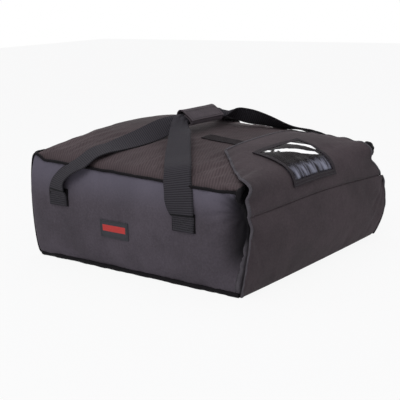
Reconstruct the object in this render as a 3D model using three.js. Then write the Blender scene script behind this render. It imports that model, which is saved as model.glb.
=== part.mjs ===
import * as THREE from 'three';

// An insulated pizza delivery bag: a padded box that opens at the front, a front flap that drops
// down, a tongue that closes it over the top, and two webbing handles joined by a wrapped grip.
// Frame: +Z up, the mouth and its flap face -Y, and the origin is the middle of the base.

// Box
const wallWidth = 492;
const wallDepth = 500;
const mouthHeight = 199;
const backRise = 17;
const backArch = 20;
const crownRise = 31;
const sideBulge = 6;
const backBulge = 12;

// Layers of the padded walls, and the gap that sewn pieces keep
const outerThickness = 1.6;
const insulationThickness = 11;
const liningThickness = 1.4;
const layerGap = 0.5;
const seamGap = 0.7;
const restGap = 0.5;

// Piping and bindings
const pipingRadius = 2.2;
const bindingThickness = 1.5;

// Front flap
const flapOverhang = 4;
const flapFoot = 0.6;
const flapGap = 0.6;
const flapSeamDrop = 54;
const flapLean = 6;
const flapPuff = 17;
const flapEdgeFill = 2;
const flapForward = 17;
const bendForward = 6;
const bendGap = 0.4;

// Closing tongue with its strips of hook and loop
const tongueLength = 120;
const tongueEndWidth = 230;
const tongueThickness = 3;
const tongueBindingWidth = 4;
const stripWidth = 30;
const stripSpacing = 104;
const stripThickness = 2.5;
const stripGap = 0.8;
const loopSetback = 50;
const loopReachLeft = 94;
const loopReachRight = -7;
const hookLength = 60;
const hookInset = 8;

// Ticket window
const windowWidth = 152;
const windowOffset = -30;
const windowOnTop = 50;
const windowOnFront = 34;
const windowBorder = 12;
const filmThickness = 0.6;

// Webbing handles and their sewn ends
const webbingWidth = 50;
const webbingThickness = 2.2;
const gatheredWidth = 30;
const endPatchWidth = 58;
const endPatchHeight = 32;
const endPatchThickness = 1.6;
const frontHandle = { y: -139, low: 105 };
const rearHandle = { y: 182, low: 114 };
const handleFlare = 9;

// Grip wrap
const gripLength = 106;
const gripWidth = 36;
const gripHeight = 10;
const gripWall = 2;
const gripOffset = -5;
const gripBack = 12;
const gripLift = 29;
const gripTilt = THREE.MathUtils.degToRad(35);
const gripReturn = 22;
const gripEntry = 8;
const gripPatchThickness = 0.9;
const gripPatchWidth = 15;
const gripPatchInset = 4;

// Label patch
const labelWidth = 72;
const labelHeight = 34;
const labelThickness = 1.2;
const labelBack = 38;
const labelLow = 67;

// Shapes of the crown and of the flap's padding: how blunt they are, and how the crown leans
const crownAcrossPower = 2.46;
const crownAlongPower = 5.6;
const crownLeanShare = 0.16;
const ceilingPuffShare = 0.4;
const flapPuffPower = 1.5;

// Grid stations, as shares of the piece that they divide
const crownAcrossShares = [-1, -0.93, -0.8, -0.6, -0.35, 0, 0.35, 0.6, 0.8, 0.93, 1];
const crownAlongShares = [-1, -0.93, -0.85, -0.75, -0.6, -0.35, 0, 0.35, 0.6, 0.75, 0.85, 0.93, 1];
const wallShares = [-1, -0.9, -0.65, -0.25, 0.25, 0.65, 0.9, 1];
const heightShares = [0, 0.1, 0.27, 0.5, 0.73, 0.9, 1];
const flapAcrossShares = [-1, -0.9, -0.65, -0.25, 0.25, 0.65, 0.9, 1];
const tongueAlongShares = [0, 0.035, 0.1, 0.17, 0.26, 0.37, 0.5, 0.65, 0.82, 1];
const tongueAcrossShares = [-1, -0.86, -0.62, -0.4, -0.14, 0.14, 0.4, 0.62, 0.86, 1];
const stripShares = [0, 0.12, 0.25, 0.4, 0.6, 0.8, 1];
const edgeShares = [-1, 0, 1];

// Routes of the handles from the sewn end to the grip. On the side: shares of the flare, of the way
// to the grip and of the seam's height. On top: shares of the half width, of the way and of the lift.
const frontSideShares = [[0, 0, 0.52], [0, 0, 0.69], [1, 0.02, 0.83], [1, 0.06, 0.98]];
const frontTopShares = [[1, 0.14, 0.38], [0.8, 0.34, 0.5], [0.53, 0.63, 0.74], [0.33, 0.86, 0.94]];
const rearSideShares = [[0, 0, 0.52], [0, 0, 0.66], [1, 0.06, 0.81], [1, 0.16, 0.98]];
const rearTopShares = [[1, 0.27, 0.38], [0.86, 0.52, 0.39], [0.66, 0.7, 0.48], [0.44, 0.85, 0.68]];

const halfWidth = wallWidth / 2;
const halfDepth = wallDepth / 2;
const flapHalf = halfWidth + flapOverhang;
const flapSeamHeight = mouthHeight - flapSeamDrop;

// Faces of each layer, measured inwards from the outside of the wall
const outer = { start: 0, end: outerThickness };
const insulation = { start: outer.end + layerGap, end: outer.end + layerGap + insulationThickness };
const lining = { start: insulation.end + layerGap, end: insulation.end + layerGap + liningThickness };

const bag = new THREE.Group();

const clamp = THREE.MathUtils.clamp;
const lerp = THREE.MathUtils.lerp;
const smooth = THREE.MathUtils.smoothstep;
const shareOf = (value, half) => clamp(value / half, -1, 1);

// Adds one sub-part with a material of its own
function add(name, geometry, colour, roughness, position = [0, 0, 0]) {
  const material = new THREE.MeshStandardMaterial({ color: colour, roughness, metalness: 0 });
  const mesh = new THREE.Mesh(geometry, material);
  mesh.name = name;
  mesh.position.set(...position);
  bag.add(mesh);
}

const nylon = 0x3f3a3f;
const foam = 0xb9b6ae;
const liningCloth = 0x2c2b2e;
const trimCloth = 0x232226;
const webbing = 0x35383d;
const hookTape = 0x1f2023;
const clearVinyl = 0xd5dadf;
const redCloth = 0xa52f35;

// A closed solid from points and from faces that list their corners, turned to face outwards
function closedGeometry(points, faces) {
  const index = [];
  for (const face of faces) {
    for (let corner = 1; corner < face.length - 1; corner += 1) {
      index.push(face[0], face[corner], face[corner + 1]);
    }
  }
  let volume = 0;
  const corners = points.map((point) => new THREE.Vector3(...point));
  for (let i = 0; i < index.length; i += 3) {
    const [a, b, c] = [corners[index[i]], corners[index[i + 1]], corners[index[i + 2]]];
    volume += a.dot(b.clone().cross(c));
  }
  if (volume < 0) {
    index.reverse();
  }
  const geometry = new THREE.BufferGeometry();
  geometry.setAttribute('position', new THREE.Float32BufferAttribute(points.flat(), 3));
  geometry.setIndex(index);
  geometry.computeVertexNormals();
  return geometry;
}

// A sheet between two faces of grid points. Cells that are not kept leave a hole with its own walls.
function sheet(rows, columns, front, rear, kept = () => true) {
  const points = [];
  const numbers = new Map();
  const at = (side, i, j) => {
    const key = `${side} ${i} ${j}`;
    if (!numbers.has(key)) {
      numbers.set(key, points.length);
      points.push((side === 0 ? front : rear)(rows[i], columns[j]));
    }
    return numbers.get(key);
  };
  const inside = (i, j) => i >= 0 && j >= 0 && i < rows.length - 1 && j < columns.length - 1;
  const solid = (i, j) => inside(i, j) && kept(i, j);
  const faces = [];
  const wall = (a, b) => faces.push([at(0, ...b), at(0, ...a), at(1, ...a), at(1, ...b)]);
  for (let i = 0; i < rows.length - 1; i += 1) {
    for (let j = 0; j < columns.length - 1; j += 1) {
      if (!solid(i, j)) continue;
      const [p, q, r, s] = [[i, j], [i + 1, j], [i + 1, j + 1], [i, j + 1]];
      faces.push([at(0, ...p), at(0, ...q), at(0, ...r), at(0, ...s)]);
      faces.push([at(1, ...p), at(1, ...s), at(1, ...r), at(1, ...q)]);
      if (!solid(i, j - 1)) wall(p, q);
      if (!solid(i + 1, j)) wall(q, r);
      if (!solid(i, j + 1)) wall(r, s);
      if (!solid(i - 1, j)) wall(s, p);
    }
  }
  return closedGeometry(points, faces);
}

// A section carried along stations, each with a centre and two directions that place the section
function sweep(stations, section) {
  const points = [];
  for (const { centre, across, up } of stations) {
    for (const [a, b] of section) {
      points.push(centre.clone().addScaledVector(across, a).addScaledVector(up, b).toArray());
    }
  }
  const count = section.length;
  const faces = [];
  for (let ring = 0; ring < stations.length - 1; ring += 1) {
    for (let side = 0; side < count; side += 1) {
      const next = (side + 1) % count;
      const near = ring * count;
      const far = near + count;
      faces.push([near + side, near + next, far + next, far + side]);
    }
  }
  const last = (stations.length - 1) * count;
  faces.push(section.map((_, side) => count - 1 - side));
  faces.push(section.map((_, side) => last + side));
  return closedGeometry(points, faces);
}

// Stations along a list of points; acrossAt gives the wished direction across the section
function stationsAlong(points, acrossAt) {
  return points.map((centre, i) => {
    const before = points[Math.max(i - 1, 0)];
    const after = points[Math.min(i + 1, points.length - 1)];
    const tangent = after.clone().sub(before).normalize();
    const across = acrossAt(centre, tangent, i);
    across.addScaledVector(tangent, -across.dot(tangent)).normalize();
    return { centre, across, up: tangent.clone().cross(across) };
  });
}

const circleSection = (radius, sides) => Array.from({ length: sides }, (_, side) => {
  const angle = (2 * Math.PI * side) / sides;
  return [radius * Math.cos(angle), radius * Math.sin(angle)];
});

const boxSection = (width, thickness) => [
  [-width / 2, -thickness / 2],
  [width / 2, -thickness / 2],
  [width / 2, thickness / 2],
  [-width / 2, thickness / 2],
];

// A box between two opposite corners
function block(low, high) {
  const size = high.map((value, axis) => value - low[axis]);
  const centre = high.map((value, axis) => (value + low[axis]) / 2);
  return { geometry: new THREE.BoxGeometry(...size), centre };
}

// Roof of the bag: its seam line, and the crown that puffs above it
function roofHeight(x, y) {
  const across = shareOf(x, halfWidth);
  const back = (shareOf(y, halfDepth) + 1) / 2;
  return mouthHeight + backRise * back + backArch * (1 - across ** 2) * back ** 2;
}

function crownPuff(x, y) {
  const across = shareOf(x, halfWidth);
  const along = Math.abs(shareOf(y, halfDepth));
  const acrossShape = 1 - Math.abs(across) ** crownAcrossPower;
  return crownRise * (1 + crownLeanShare * across) * acrossShape * (1 - along ** crownAlongPower);
}

const crownHeight = (x, y) => roofHeight(x, y) + crownPuff(x, y);

// Bulges of the walls, nothing at their edges
const swell = (share) => 1 - share ** 2;
const heightSwell = (z, top) => swell(shareOf(z - top / 2, top / 2));
const sideSwell = (y, z) => sideBulge * swell(shareOf(y, halfDepth)) * heightSwell(z, roofHeight(halfWidth, y));
const backSwell = (x, z) => backBulge * swell(shareOf(x, halfWidth)) * heightSwell(z, roofHeight(x, halfDepth));

const stations = (shares, half, low, high) => shares.map((share) => clamp(share * half, low, high));

// The five panels of one layer: the base, two sides, the back and the roof
function addLayer(prefix, layer, colour, roughness) {
  const back = halfDepth - layer.start;
  const edge = halfWidth - layer.start;
  const floor = layer.end + layerGap;
  const base = block([-edge, -halfDepth, layer.start], [edge, back, layer.end]);
  add(`${prefix}_bottom`, base.geometry, colour, roughness, base.centre);

  for (const [name, side] of [['left', -1], ['right', 1]]) {
    const face = (inset) => (y, heightShare) => {
      const seam = roofHeight(halfWidth, y);
      const z = clamp(heightShare * seam, floor, seam - layer.end - seamGap);
      return [side * (halfWidth - inset + sideSwell(y, z)), y, z];
    };
    const rows = stations(wallShares, halfDepth, -halfDepth, back);
    add(`${prefix}_${name}`, sheet(rows, heightShares, face(layer.start), face(layer.end)), colour, roughness);
  }

  const reach = halfWidth - layer.end - layerGap;
  const backFace = (inset) => (x, heightShare) => {
    const seam = roofHeight(x, halfDepth);
    const y = halfDepth - inset;
    const z = clamp(heightShare * seam, floor, roofHeight(x, y) - layer.end - seamGap);
    return [x, y + backSwell(x, z), z];
  };
  const backRows = stations(wallShares, halfWidth, -reach, reach);
  add(`${prefix}_back`, sheet(backRows, heightShares, backFace(layer.start), backFace(layer.end)), colour, roughness);

  const puffShare = (inset) => (inset > insulation.start ? ceilingPuffShare : 1);
  const roofFace = (inset) => (x, y) => [x, y, roofHeight(x, y) + puffShare(inset) * crownPuff(x, y) - inset];
  const roofRows = stations(crownAcrossShares, halfWidth, -edge, edge);
  const roofColumns = stations(crownAlongShares, halfDepth, -halfDepth, back);
  add(`${prefix}_top`, sheet(roofRows, roofColumns, roofFace(layer.start), roofFace(layer.end)), colour, roughness);
}

addLayer('outer', outer, nylon, 0.82);
addLayer('insulation', insulation, foam, 0.95);
addLayer('lining', lining, liningCloth, 0.6);

// Piping along the seams, just outside the walls
const pipingOut = layerGap + pipingRadius;
const pipingSection = circleSection(pipingRadius, 6);
const cornerTurnShares = [0, 1 / 3, 2 / 3, 1];

// Path round the sides and the back at a height that may follow the seam
function pipingPath(heightAt) {
  const side = (sign, y) => {
    const z = heightAt(halfWidth, y);
    return new THREE.Vector3(sign * (halfWidth + pipingOut + sideSwell(y, z)), y, z);
  };
  const corner = (sign, share) => {
    const angle = (share * Math.PI) / 2;
    const x = sign * (halfWidth + pipingOut * Math.cos(angle));
    return new THREE.Vector3(x, halfDepth + pipingOut * Math.sin(angle), heightAt(halfWidth, halfDepth));
  };
  const back = (x) => {
    const z = heightAt(x, halfDepth);
    return new THREE.Vector3(x, halfDepth + pipingOut + backSwell(x, z), z);
  };
  const sideRows = wallShares.slice(0, -1).map((share) => share * halfDepth);
  const backRows = wallShares.slice(1, -1).map((share) => share * halfWidth);
  return [
    ...sideRows.map((y) => side(-1, y)),
    ...cornerTurnShares.map((share) => corner(-1, share)),
    ...backRows.map(back),
    ...[...cornerTurnShares].reverse().map((share) => corner(1, share)),
    ...[...sideRows].reverse().map((y) => side(1, y)),
  ];
}

const upright = () => new THREE.Vector3(0, 0, 1);
const topPipingHeight = (x, y) => roofHeight(x, y) - pipingRadius;
const lowPipingHeight = () => pipingRadius + layerGap;
add('piping_top', sweep(stationsAlong(pipingPath(topPipingHeight), upright), pipingSection), trimCloth, 0.6);
add('piping_bottom', sweep(stationsAlong(pipingPath(lowPipingHeight), upright), pipingSection), trimCloth, 0.6);

for (const [name, side] of [['left', -1], ['right', 1]]) {
  const diagonal = pipingOut * Math.SQRT1_2;
  const low = lowPipingHeight() + pipingRadius + layerGap;
  const high = topPipingHeight(halfWidth, halfDepth) - pipingRadius - layerGap;
  const ends = [low, high].map((z) => new THREE.Vector3(side * (halfWidth + diagonal), halfDepth + diagonal, z));
  const outwards = () => new THREE.Vector3(side, 1, 0).normalize();
  add(`piping_back_${name}`, sweep(stationsAlong(ends, outwards), pipingSection), trimCloth, 0.6);
}

// Binding that closes the front edges of all the layers round the mouth
const mouthShape = new THREE.Shape();
mouthShape.moveTo(-halfWidth, layerGap);
mouthShape.lineTo(halfWidth, layerGap);
mouthShape.lineTo(halfWidth, mouthHeight);
mouthShape.lineTo(-halfWidth, mouthHeight);
mouthShape.closePath();
const mouthHole = new THREE.Path();
mouthHole.moveTo(-halfWidth + lining.end, lining.end);
mouthHole.lineTo(-halfWidth + lining.end, mouthHeight - lining.end);
mouthHole.lineTo(halfWidth - lining.end, mouthHeight - lining.end);
mouthHole.lineTo(halfWidth - lining.end, lining.end);
mouthHole.closePath();
mouthShape.holes.push(mouthHole);
const mouthGeometry = new THREE.ExtrudeGeometry(mouthShape, { depth: bindingThickness, bevelEnabled: false });
mouthGeometry.rotateX(Math.PI / 2);
add('mouth_binding', mouthGeometry, trimCloth, 0.65, [0, -halfDepth - layerGap, 0]);

// Front flap: lining, padding and outer cloth from the foot to the seam
const flapInnerY = -(halfDepth + layerGap + bindingThickness + flapGap);
const flapFace = (inset, puffShare) => (x, heightShare) => {
  const z = lerp(flapFoot, flapSeamHeight, heightShare);
  const puff = flapPuff * (1 - (x / flapHalf) ** 4) * swell(2 * heightShare - 1) ** flapPuffPower;
  return [x, flapInnerY - flapLean * heightShare - inset - puffShare * puff, z];
};
const flapRows = (half) => flapAcrossShares.map((share) => share * half);
const flapClothHalf = flapHalf - bindingThickness - layerGap;
const flapPadStart = liningThickness + layerGap;
const flapPadEnd = flapPadStart + flapEdgeFill;
const flapClothStart = flapPadEnd + layerGap;
const flapClothEnd = flapClothStart + outerThickness;
const flapPanel = (start, end, startPuffShare, endPuffShare) => sheet(
  flapRows(flapClothHalf),
  heightShares,
  flapFace(start, startPuffShare),
  flapFace(end, endPuffShare),
);
add('flap_lining', flapPanel(0, liningThickness, 0, 0), liningCloth, 0.6);
add('flap_insulation', flapPanel(flapPadStart, flapPadEnd, 0, 1), foam, 0.95);
add('flap_outer', flapPanel(flapClothStart, flapClothEnd, 1, 1), nylon, 0.82);

for (const [name, side] of [['left', -1], ['right', 1]]) {
  const face = (inset) => (x, heightShare) => flapFace(inset, 0)(x, heightShare);
  const rows = [side * (flapHalf - bindingThickness), side * flapHalf];
  const ends = [0, 1];
  add(`flap_binding_${name}`, sheet(rows, ends, face(0), face(flapClothEnd)), trimCloth, 0.65);
}

// The fold between the flap and the tongue, and the thin upper part of the flap that leads up to it
const tongueLift = 3 * stripGap + 2 * stripThickness;
const foldReach = tongueThickness / 2 + bendGap;
const fold = new THREE.Vector2(-(halfDepth + bendForward), mouthHeight + tongueLift + tongueThickness / 2);
const seamStart = new THREE.Vector2(
  flapInnerY - flapLean - flapClothEnd / 2,
  flapSeamHeight + layerGap + seamGap,
);
const upperEnd = new THREE.Vector2(fold.x, fold.y - foldReach);
const upperCurve = new THREE.CubicBezierCurve(
  seamStart,
  new THREE.Vector2(seamStart.x - flapForward / 2, lerp(seamStart.y, upperEnd.y, 1 / 3)),
  new THREE.Vector2(upperEnd.x - flapForward, lerp(seamStart.y, upperEnd.y, 2 / 3)),
  upperEnd,
);
const upperSteps = 8;
const upperProfile = upperCurve.getPoints(upperSteps);

// Points of a profile in the YZ plane, moved along its normal, which points away from the bag
function offsetProfile(profile, distance) {
  return profile.map((point, i) => {
    const before = profile[Math.max(i - 1, 0)];
    const after = profile[Math.min(i + 1, profile.length - 1)];
    const along = after.clone().sub(before).normalize();
    return new THREE.Vector2(point.x - along.y * distance, point.y + along.x * distance);
  });
}

const profileSteps = (profile) => profile.map((_, i) => i);
const profileFace = (profile, distance) => {
  const moved = offsetProfile(profile, distance);
  return (x, step) => [x, moved[step].x, moved[step].y];
};
add('flap_upper', sheet(
  flapRows(flapHalf),
  profileSteps(upperProfile),
  profileFace(upperProfile, tongueThickness / 2),
  profileFace(upperProfile, -tongueThickness / 2),
), nylon, 0.82);

// Tongue: it starts behind the fold, lies over the crown and narrows to its end
const tongueStart = fold.x + foldReach;
const tongueEnd = -halfDepth + tongueLength;
const tongueHalf = (y) => {
  const share = clamp((y + halfDepth) / tongueLength, 0, 1);
  return lerp(flapHalf, tongueEndWidth / 2, share);
};
const tongueRows = tongueAlongShares.map((share) => lerp(tongueStart, tongueEnd, share));
const tongueFace = (lift) => (y, acrossShare) => {
  const x = acrossShare * (tongueHalf(y) - tongueBindingWidth - layerGap);
  return [x, y, crownHeight(x, y) + lift];
};
add('tongue', sheet(
  tongueRows,
  tongueAcrossShares,
  tongueFace(tongueLift + tongueThickness),
  tongueFace(tongueLift),
), nylon, 0.82);

// Binding along both slanted sides and the end of the tongue
const bindingLine = (inset) => {
  const side = (sign) => tongueRows.map((y) => [sign * (tongueHalf(y) - inset), y]);
  const end = tongueEnd + tongueBindingWidth + layerGap - inset;
  const across = tongueAcrossShares.map((share) => [share * (tongueEndWidth / 2 - inset), end]);
  return [...side(-1), ...across, ...side(1).reverse()];
};
const bindingOuter = bindingLine(0);
const bindingInner = bindingLine(tongueBindingWidth);
const bindingFace = (lift) => (step, edge) => {
  const [x, y] = (edge === 0 ? bindingOuter : bindingInner)[step];
  return [x, y, crownHeight(x, y) + lift];
};
add('tongue_binding', sheet(
  bindingOuter.map((_, i) => i),
  [0, 1],
  bindingFace(tongueLift + tongueThickness),
  bindingFace(tongueLift),
), trimCloth, 0.65);

// Strips of loop on the roof and of hook under the tongue, in two rows. The left loop strip goes on
// behind the tongue, so that the tongue also closes over a fuller bag.
for (const [name, side, reach] of [['left', -1, loopReachLeft], ['right', 1, loopReachRight]]) {
  const rows = edgeShares.map((share) => (side * stripSpacing + share * stripWidth) / 2);
  const stripFace = (lift) => (x, y) => [x, y, crownHeight(x, y) + lift];
  const loopFront = loopSetback - halfDepth;
  const loopRear = tongueEnd + reach;
  const loopRows = stripShares.map((share) => lerp(loopFront, loopRear, share));
  const hookRear = tongueEnd - hookInset;
  const hookRows = stripShares.map((share) => lerp(hookRear - hookLength, hookRear, share));
  const hookBase = 2 * stripGap + stripThickness;
  const loop = sheet(rows, loopRows, stripFace(stripGap + stripThickness), stripFace(stripGap));
  const hook = sheet(rows, hookRows, stripFace(hookBase + stripThickness), stripFace(hookBase));
  add(`loop_strip_${name}`, loop, hookTape, 0.95);
  add(`hook_strip_${name}`, hook, hookTape, 0.9);
}

// Ticket window: a clear film and its bound frame, from the tongue over the fold to the front
function windowProfile(x) {
  const top = tongueLift + tongueThickness;
  const onTongue = tongueRows
    .filter((y) => y < tongueEnd - windowOnTop)
    .map((y) => new THREE.Vector2(y, crownHeight(x, y) + top));
  const rearEdge = tongueEnd - windowOnTop;
  const rear = new THREE.Vector2(rearEdge, crownHeight(x, rearEdge) + top);
  const turn = [1 / 3, 2 / 3].map((share) => {
    const angle = (share * Math.PI) / 2;
    const reach = tongueThickness / 2 + bendGap;
    return new THREE.Vector2(fold.x - reach * Math.sin(angle), fold.y + reach * Math.cos(angle));
  });
  const front = offsetProfile(upperProfile, tongueThickness / 2).filter((p) => p.y > fold.y - windowOnFront);
  return [rear, ...onTongue.reverse(), ...turn, ...front.reverse()];
}
const windowShares = [-1, -1 + (2 * windowBorder) / windowWidth, -0.4, 0, 0.4, 1 - (2 * windowBorder) / windowWidth, 1];
const windowRows = windowShares.map((share) => windowOffset + (share * windowWidth) / 2);
const windowSteps = windowProfile(0).map((_, i) => i);
const windowFace = (distance) => (x, step) => {
  const point = offsetProfile(windowProfile(x), -distance)[step];
  return [x, point.x, point.y];
};
const filmStart = restGap;
const frameStart = filmStart + filmThickness + layerGap;
const inFrame = (i, j) => {
  const lastRow = windowRows.length - 2;
  const lastStep = windowSteps.length - 2;
  return i === 0 || j === 0 || i === lastRow || j === lastStep;
};
add('window_film', sheet(
  windowRows,
  windowSteps,
  windowFace(filmStart + filmThickness),
  windowFace(filmStart),
), clearVinyl, 0.12);
add('window_frame', sheet(
  windowRows,
  windowSteps,
  windowFace(frameStart + bindingThickness),
  windowFace(frameStart),
  inFrame,
), trimCloth, 0.65);

// Label patch on the left side
const labelYs = edgeShares.map((share) => labelBack + (share * labelWidth) / 2);
const labelZs = [labelLow, labelLow + labelHeight / 2, labelLow + labelHeight];
const leftFace = (lift) => (y, z) => [-(halfWidth + sideSwell(y, z) + lift), y, z];
add('label_patch', sheet(labelYs, labelZs, leftFace(restGap + labelThickness), leftFace(restGap)), redCloth, 0.7);

// Grip: directions along the wrap, across it and out of its upper face
const gripAlong = new THREE.Vector3(1, 0, 0);
const gripAcross = new THREE.Vector3(0, Math.cos(gripTilt), Math.sin(gripTilt));
const gripOut = new THREE.Vector3(0, -Math.sin(gripTilt), Math.cos(gripTilt));
const gripCentre = new THREE.Vector3(
  gripOffset,
  gripBack,
  crownHeight(gripOffset, gripBack) + gripLift,
);
const gripEnds = [-1, 1].map((side) => gripCentre.clone().addScaledVector(gripAlong, (side * gripLength) / 2));
const gripStations = gripEnds.map((centre) => ({ centre, across: gripAcross, up: gripOut }));

// A piece of the grip with an outline across the wrap, given as shapes of any form
function gripPiece(outline) {
  const shape = new THREE.Shape(outline.map(([a, b]) => new THREE.Vector2(a, b)));
  const geometry = new THREE.ExtrudeGeometry(shape, { depth: gripLength, bevelEnabled: false });
  const turn = new THREE.Matrix4().makeBasis(gripAcross, gripOut, gripAlong);
  geometry.applyMatrix4(turn);
  return geometry;
}

const gripHalf = gripWidth / 2;
const gripTop = gripHeight / 2;
const returnEnd = -gripHalf + gripReturn;
add('grip_wrap', gripPiece([
  [gripHalf, -gripTop],
  [gripHalf, -gripTop + gripWall],
  [-gripHalf + gripWall, -gripTop + gripWall],
  [-gripHalf + gripWall, gripTop - gripWall],
  [returnEnd, gripTop - gripWall],
  [returnEnd, gripTop],
  [-gripHalf, gripTop],
  [-gripHalf, -gripTop],
]), webbing, 0.85, gripEnds[0].toArray());

// The leaf folds over from behind and closes on the wrap with a patch of hook on a patch of loop
const leafTop = gripTop + 3 * layerGap + 2 * gripPatchThickness;
const leafInner = gripHalf + layerGap;
add('grip_leaf', gripPiece([
  [leafInner, -gripTop],
  [leafInner + gripWall, -gripTop],
  [leafInner + gripWall, leafTop + gripWall],
  [-gripHalf, leafTop + gripWall],
  [-gripHalf, leafTop],
  [leafInner, leafTop],
]), webbing, 0.85, gripEnds[0].toArray());

const patchMiddle = -gripHalf + gripPatchInset + gripPatchWidth / 2;
const patchSections = [['grip_loop_patch', layerGap], ['grip_hook_patch', 2 * layerGap + gripPatchThickness]];
for (const [name, lift] of patchSections) {
  const height = gripTop + lift + gripPatchThickness / 2;
  const section = boxSection(gripPatchWidth, gripPatchThickness).map(([a, b]) => [a + patchMiddle, b + height]);
  add(name, sweep(gripStations, section), hookTape, 0.9);
}

// Handles: each is one length of webbing from the left side, through the grip, to the right side
const handleOut = restGap + endPatchThickness + 2 * restGap + webbingThickness / 2;
const handleLayer = webbingThickness / 2 + layerGap;
function handleRoute(handle, sideShares, topShares, layerSign) {
  const gripPoint = (sign, beyond) => gripCentre.clone()
    .addScaledVector(gripAlong, sign * (gripLength / 2 + beyond))
    .addScaledVector(gripOut, layerSign * handleLayer);
  const half = (sign) => {
    const seam = roofHeight(halfWidth, handle.y);
    const low = handle.low + endPatchHeight / 2;
    const sidePoints = sideShares.map(([outShare, wayShare, heightShare], i) => {
      const y = lerp(handle.y, gripBack, wayShare);
      const z = i === 0 ? handle.low : Math.max(heightShare * seam, low);
      const x = halfWidth + sideSwell(y, z) + handleOut + outShare * handleFlare;
      return new THREE.Vector3(sign * x, y, z);
    });
    const topPoints = topShares.map(([acrossShare, wayShare, liftShare]) => {
      const x = sign * acrossShare * halfWidth;
      const y = lerp(handle.y, gripBack, wayShare);
      return new THREE.Vector3(x, y, crownHeight(x, y) + liftShare * gripLift);
    });
    return [...sidePoints, ...topPoints, gripPoint(sign, gripEntry)];
  };
  return { left: half(-1), inside: [gripPoint(-1, -gripEntry), gripPoint(1, -gripEntry)], right: half(1).reverse() };
}

const routeSteps = 18;
function handleStations(handle, sideShares, topShares, layerSign) {
  const { left, inside, right } = handleRoute(handle, sideShares, topShares, layerSign);
  const sample = (points) => new THREE.CatmullRomCurve3(points, false, 'centripetal').getPoints(routeSteps);
  const points = [...sample(left), ...inside, ...sample(right)];
  const gripZone = gripLength / 2 + Math.abs(gripOffset) + gripEntry;
  const nearGrip = (x) => 1 - smooth(Math.abs(x), gripZone, gripZone + webbingWidth);
  const onTop = (x) => 1 - smooth(Math.abs(x), halfWidth - webbingWidth, halfWidth + handleOut);
  const across = (centre, tangent) => {
    const plan = new THREE.Vector3(-tangent.y, tangent.x, 0).normalize();
    const step = plan.clone().multiplyScalar(webbingWidth / 2);
    const rise = crownHeight(centre.x + step.x, centre.y + step.y) - crownHeight(centre.x - step.x, centre.y - step.y);
    plan.z = rise / webbingWidth;
    const [nearY, farY] = [centre.y - webbingWidth / 2, centre.y + webbingWidth / 2];
    const lean = (sideSwell(farY, centre.z) - sideSwell(nearY, centre.z)) / webbingWidth;
    const onSide = new THREE.Vector3(Math.sign(centre.x) * lean, 1, 0);
    return onSide.lerp(plan, onTop(centre.x)).lerp(gripAcross, nearGrip(centre.x));
  };
  return stationsAlong(points, across).map((station) => {
    const width = lerp(webbingWidth, gatheredWidth, nearGrip(station.centre.x));
    return { ...station, across: station.across.multiplyScalar(width / webbingWidth) };
  });
}

const webbingSection = boxSection(webbingWidth, webbingThickness);
const frontStations = handleStations(frontHandle, frontSideShares, frontTopShares, 1);
const rearStations = handleStations(rearHandle, rearSideShares, rearTopShares, -1);
add('handle_strap_front', sweep(frontStations, webbingSection), webbing, 0.85);
add('handle_strap_rear', sweep(rearStations, webbingSection), webbing, 0.85);

// Sewn patches that back the four ends of the handles
for (const [place, handle] of [['front', frontHandle], ['rear', rearHandle]]) {
  for (const [name, side] of [['left', -1], ['right', 1]]) {
    const face = (lift) => (y, z) => [side * (halfWidth + sideSwell(y, z) + lift), y, z];
    const ys = edgeShares.map((share) => handle.y + (share * endPatchWidth) / 2);
    const zs = [handle.low, handle.low + endPatchHeight / 2, handle.low + endPatchHeight];
    const patch = sheet(ys, zs, face(restGap + endPatchThickness), face(restGap));
    add(`strap_patch_${place}_${name}`, patch, webbing, 0.85);
  }
}

export default bag;
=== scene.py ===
import math

import bmesh
import bpy
import numpy as np
from mathutils import Matrix, Vector, noise
from mathutils.bvhtree import BVHTree


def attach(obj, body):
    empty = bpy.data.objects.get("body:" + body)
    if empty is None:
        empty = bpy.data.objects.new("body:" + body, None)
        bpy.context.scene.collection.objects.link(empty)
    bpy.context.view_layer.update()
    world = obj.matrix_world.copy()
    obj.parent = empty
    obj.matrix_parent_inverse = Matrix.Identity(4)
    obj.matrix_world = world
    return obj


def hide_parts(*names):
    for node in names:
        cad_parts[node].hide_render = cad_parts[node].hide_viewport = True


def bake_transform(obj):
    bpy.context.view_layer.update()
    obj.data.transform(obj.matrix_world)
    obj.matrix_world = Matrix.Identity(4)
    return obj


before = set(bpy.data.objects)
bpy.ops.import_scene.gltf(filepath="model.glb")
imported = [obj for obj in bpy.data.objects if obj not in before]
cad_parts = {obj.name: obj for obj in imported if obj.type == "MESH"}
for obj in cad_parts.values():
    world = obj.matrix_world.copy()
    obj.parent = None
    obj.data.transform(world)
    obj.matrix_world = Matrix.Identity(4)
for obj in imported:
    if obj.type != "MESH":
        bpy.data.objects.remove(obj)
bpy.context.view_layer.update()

# Sizes in metres, the same as the solids have. +Z is up and the mouth faces -Y.
HALF_WIDTH, HALF_DEPTH = 0.246, 0.250
MOUTH_HEIGHT, BACK_RISE, BACK_ARCH, CROWN_RISE = 0.199, 0.017, 0.020, 0.031
SIDE_BULGE, BACK_BULGE = 0.006, 0.012
CROWN_ACROSS, CROWN_ALONG, CROWN_LEAN = 2.46, 5.6, 0.16

# Outer shell: where its panels meet, and how far they stand out of the seams
SEAM_X, SEAM_BACK, SEAM_LOW = 0.245, 0.252, 0.004
SEAM_DROP, SIDE_DROP, BACK_DROP = 0.0035, 0.0095, 0.0045
SEAM_REACH = 0.016
RIM_Y = -0.250

# Tongue, flap and ticket window
TONGUE_END, FLAP_HALF = -0.130, 0.249
TONGUE_LIFT, TONGUE_THICK = 0.0044, 0.0026
WINDOW = {"left": -0.106, "right": 0.046, "start": 0.024, "length": 0.111, "border": 0.0105}

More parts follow.
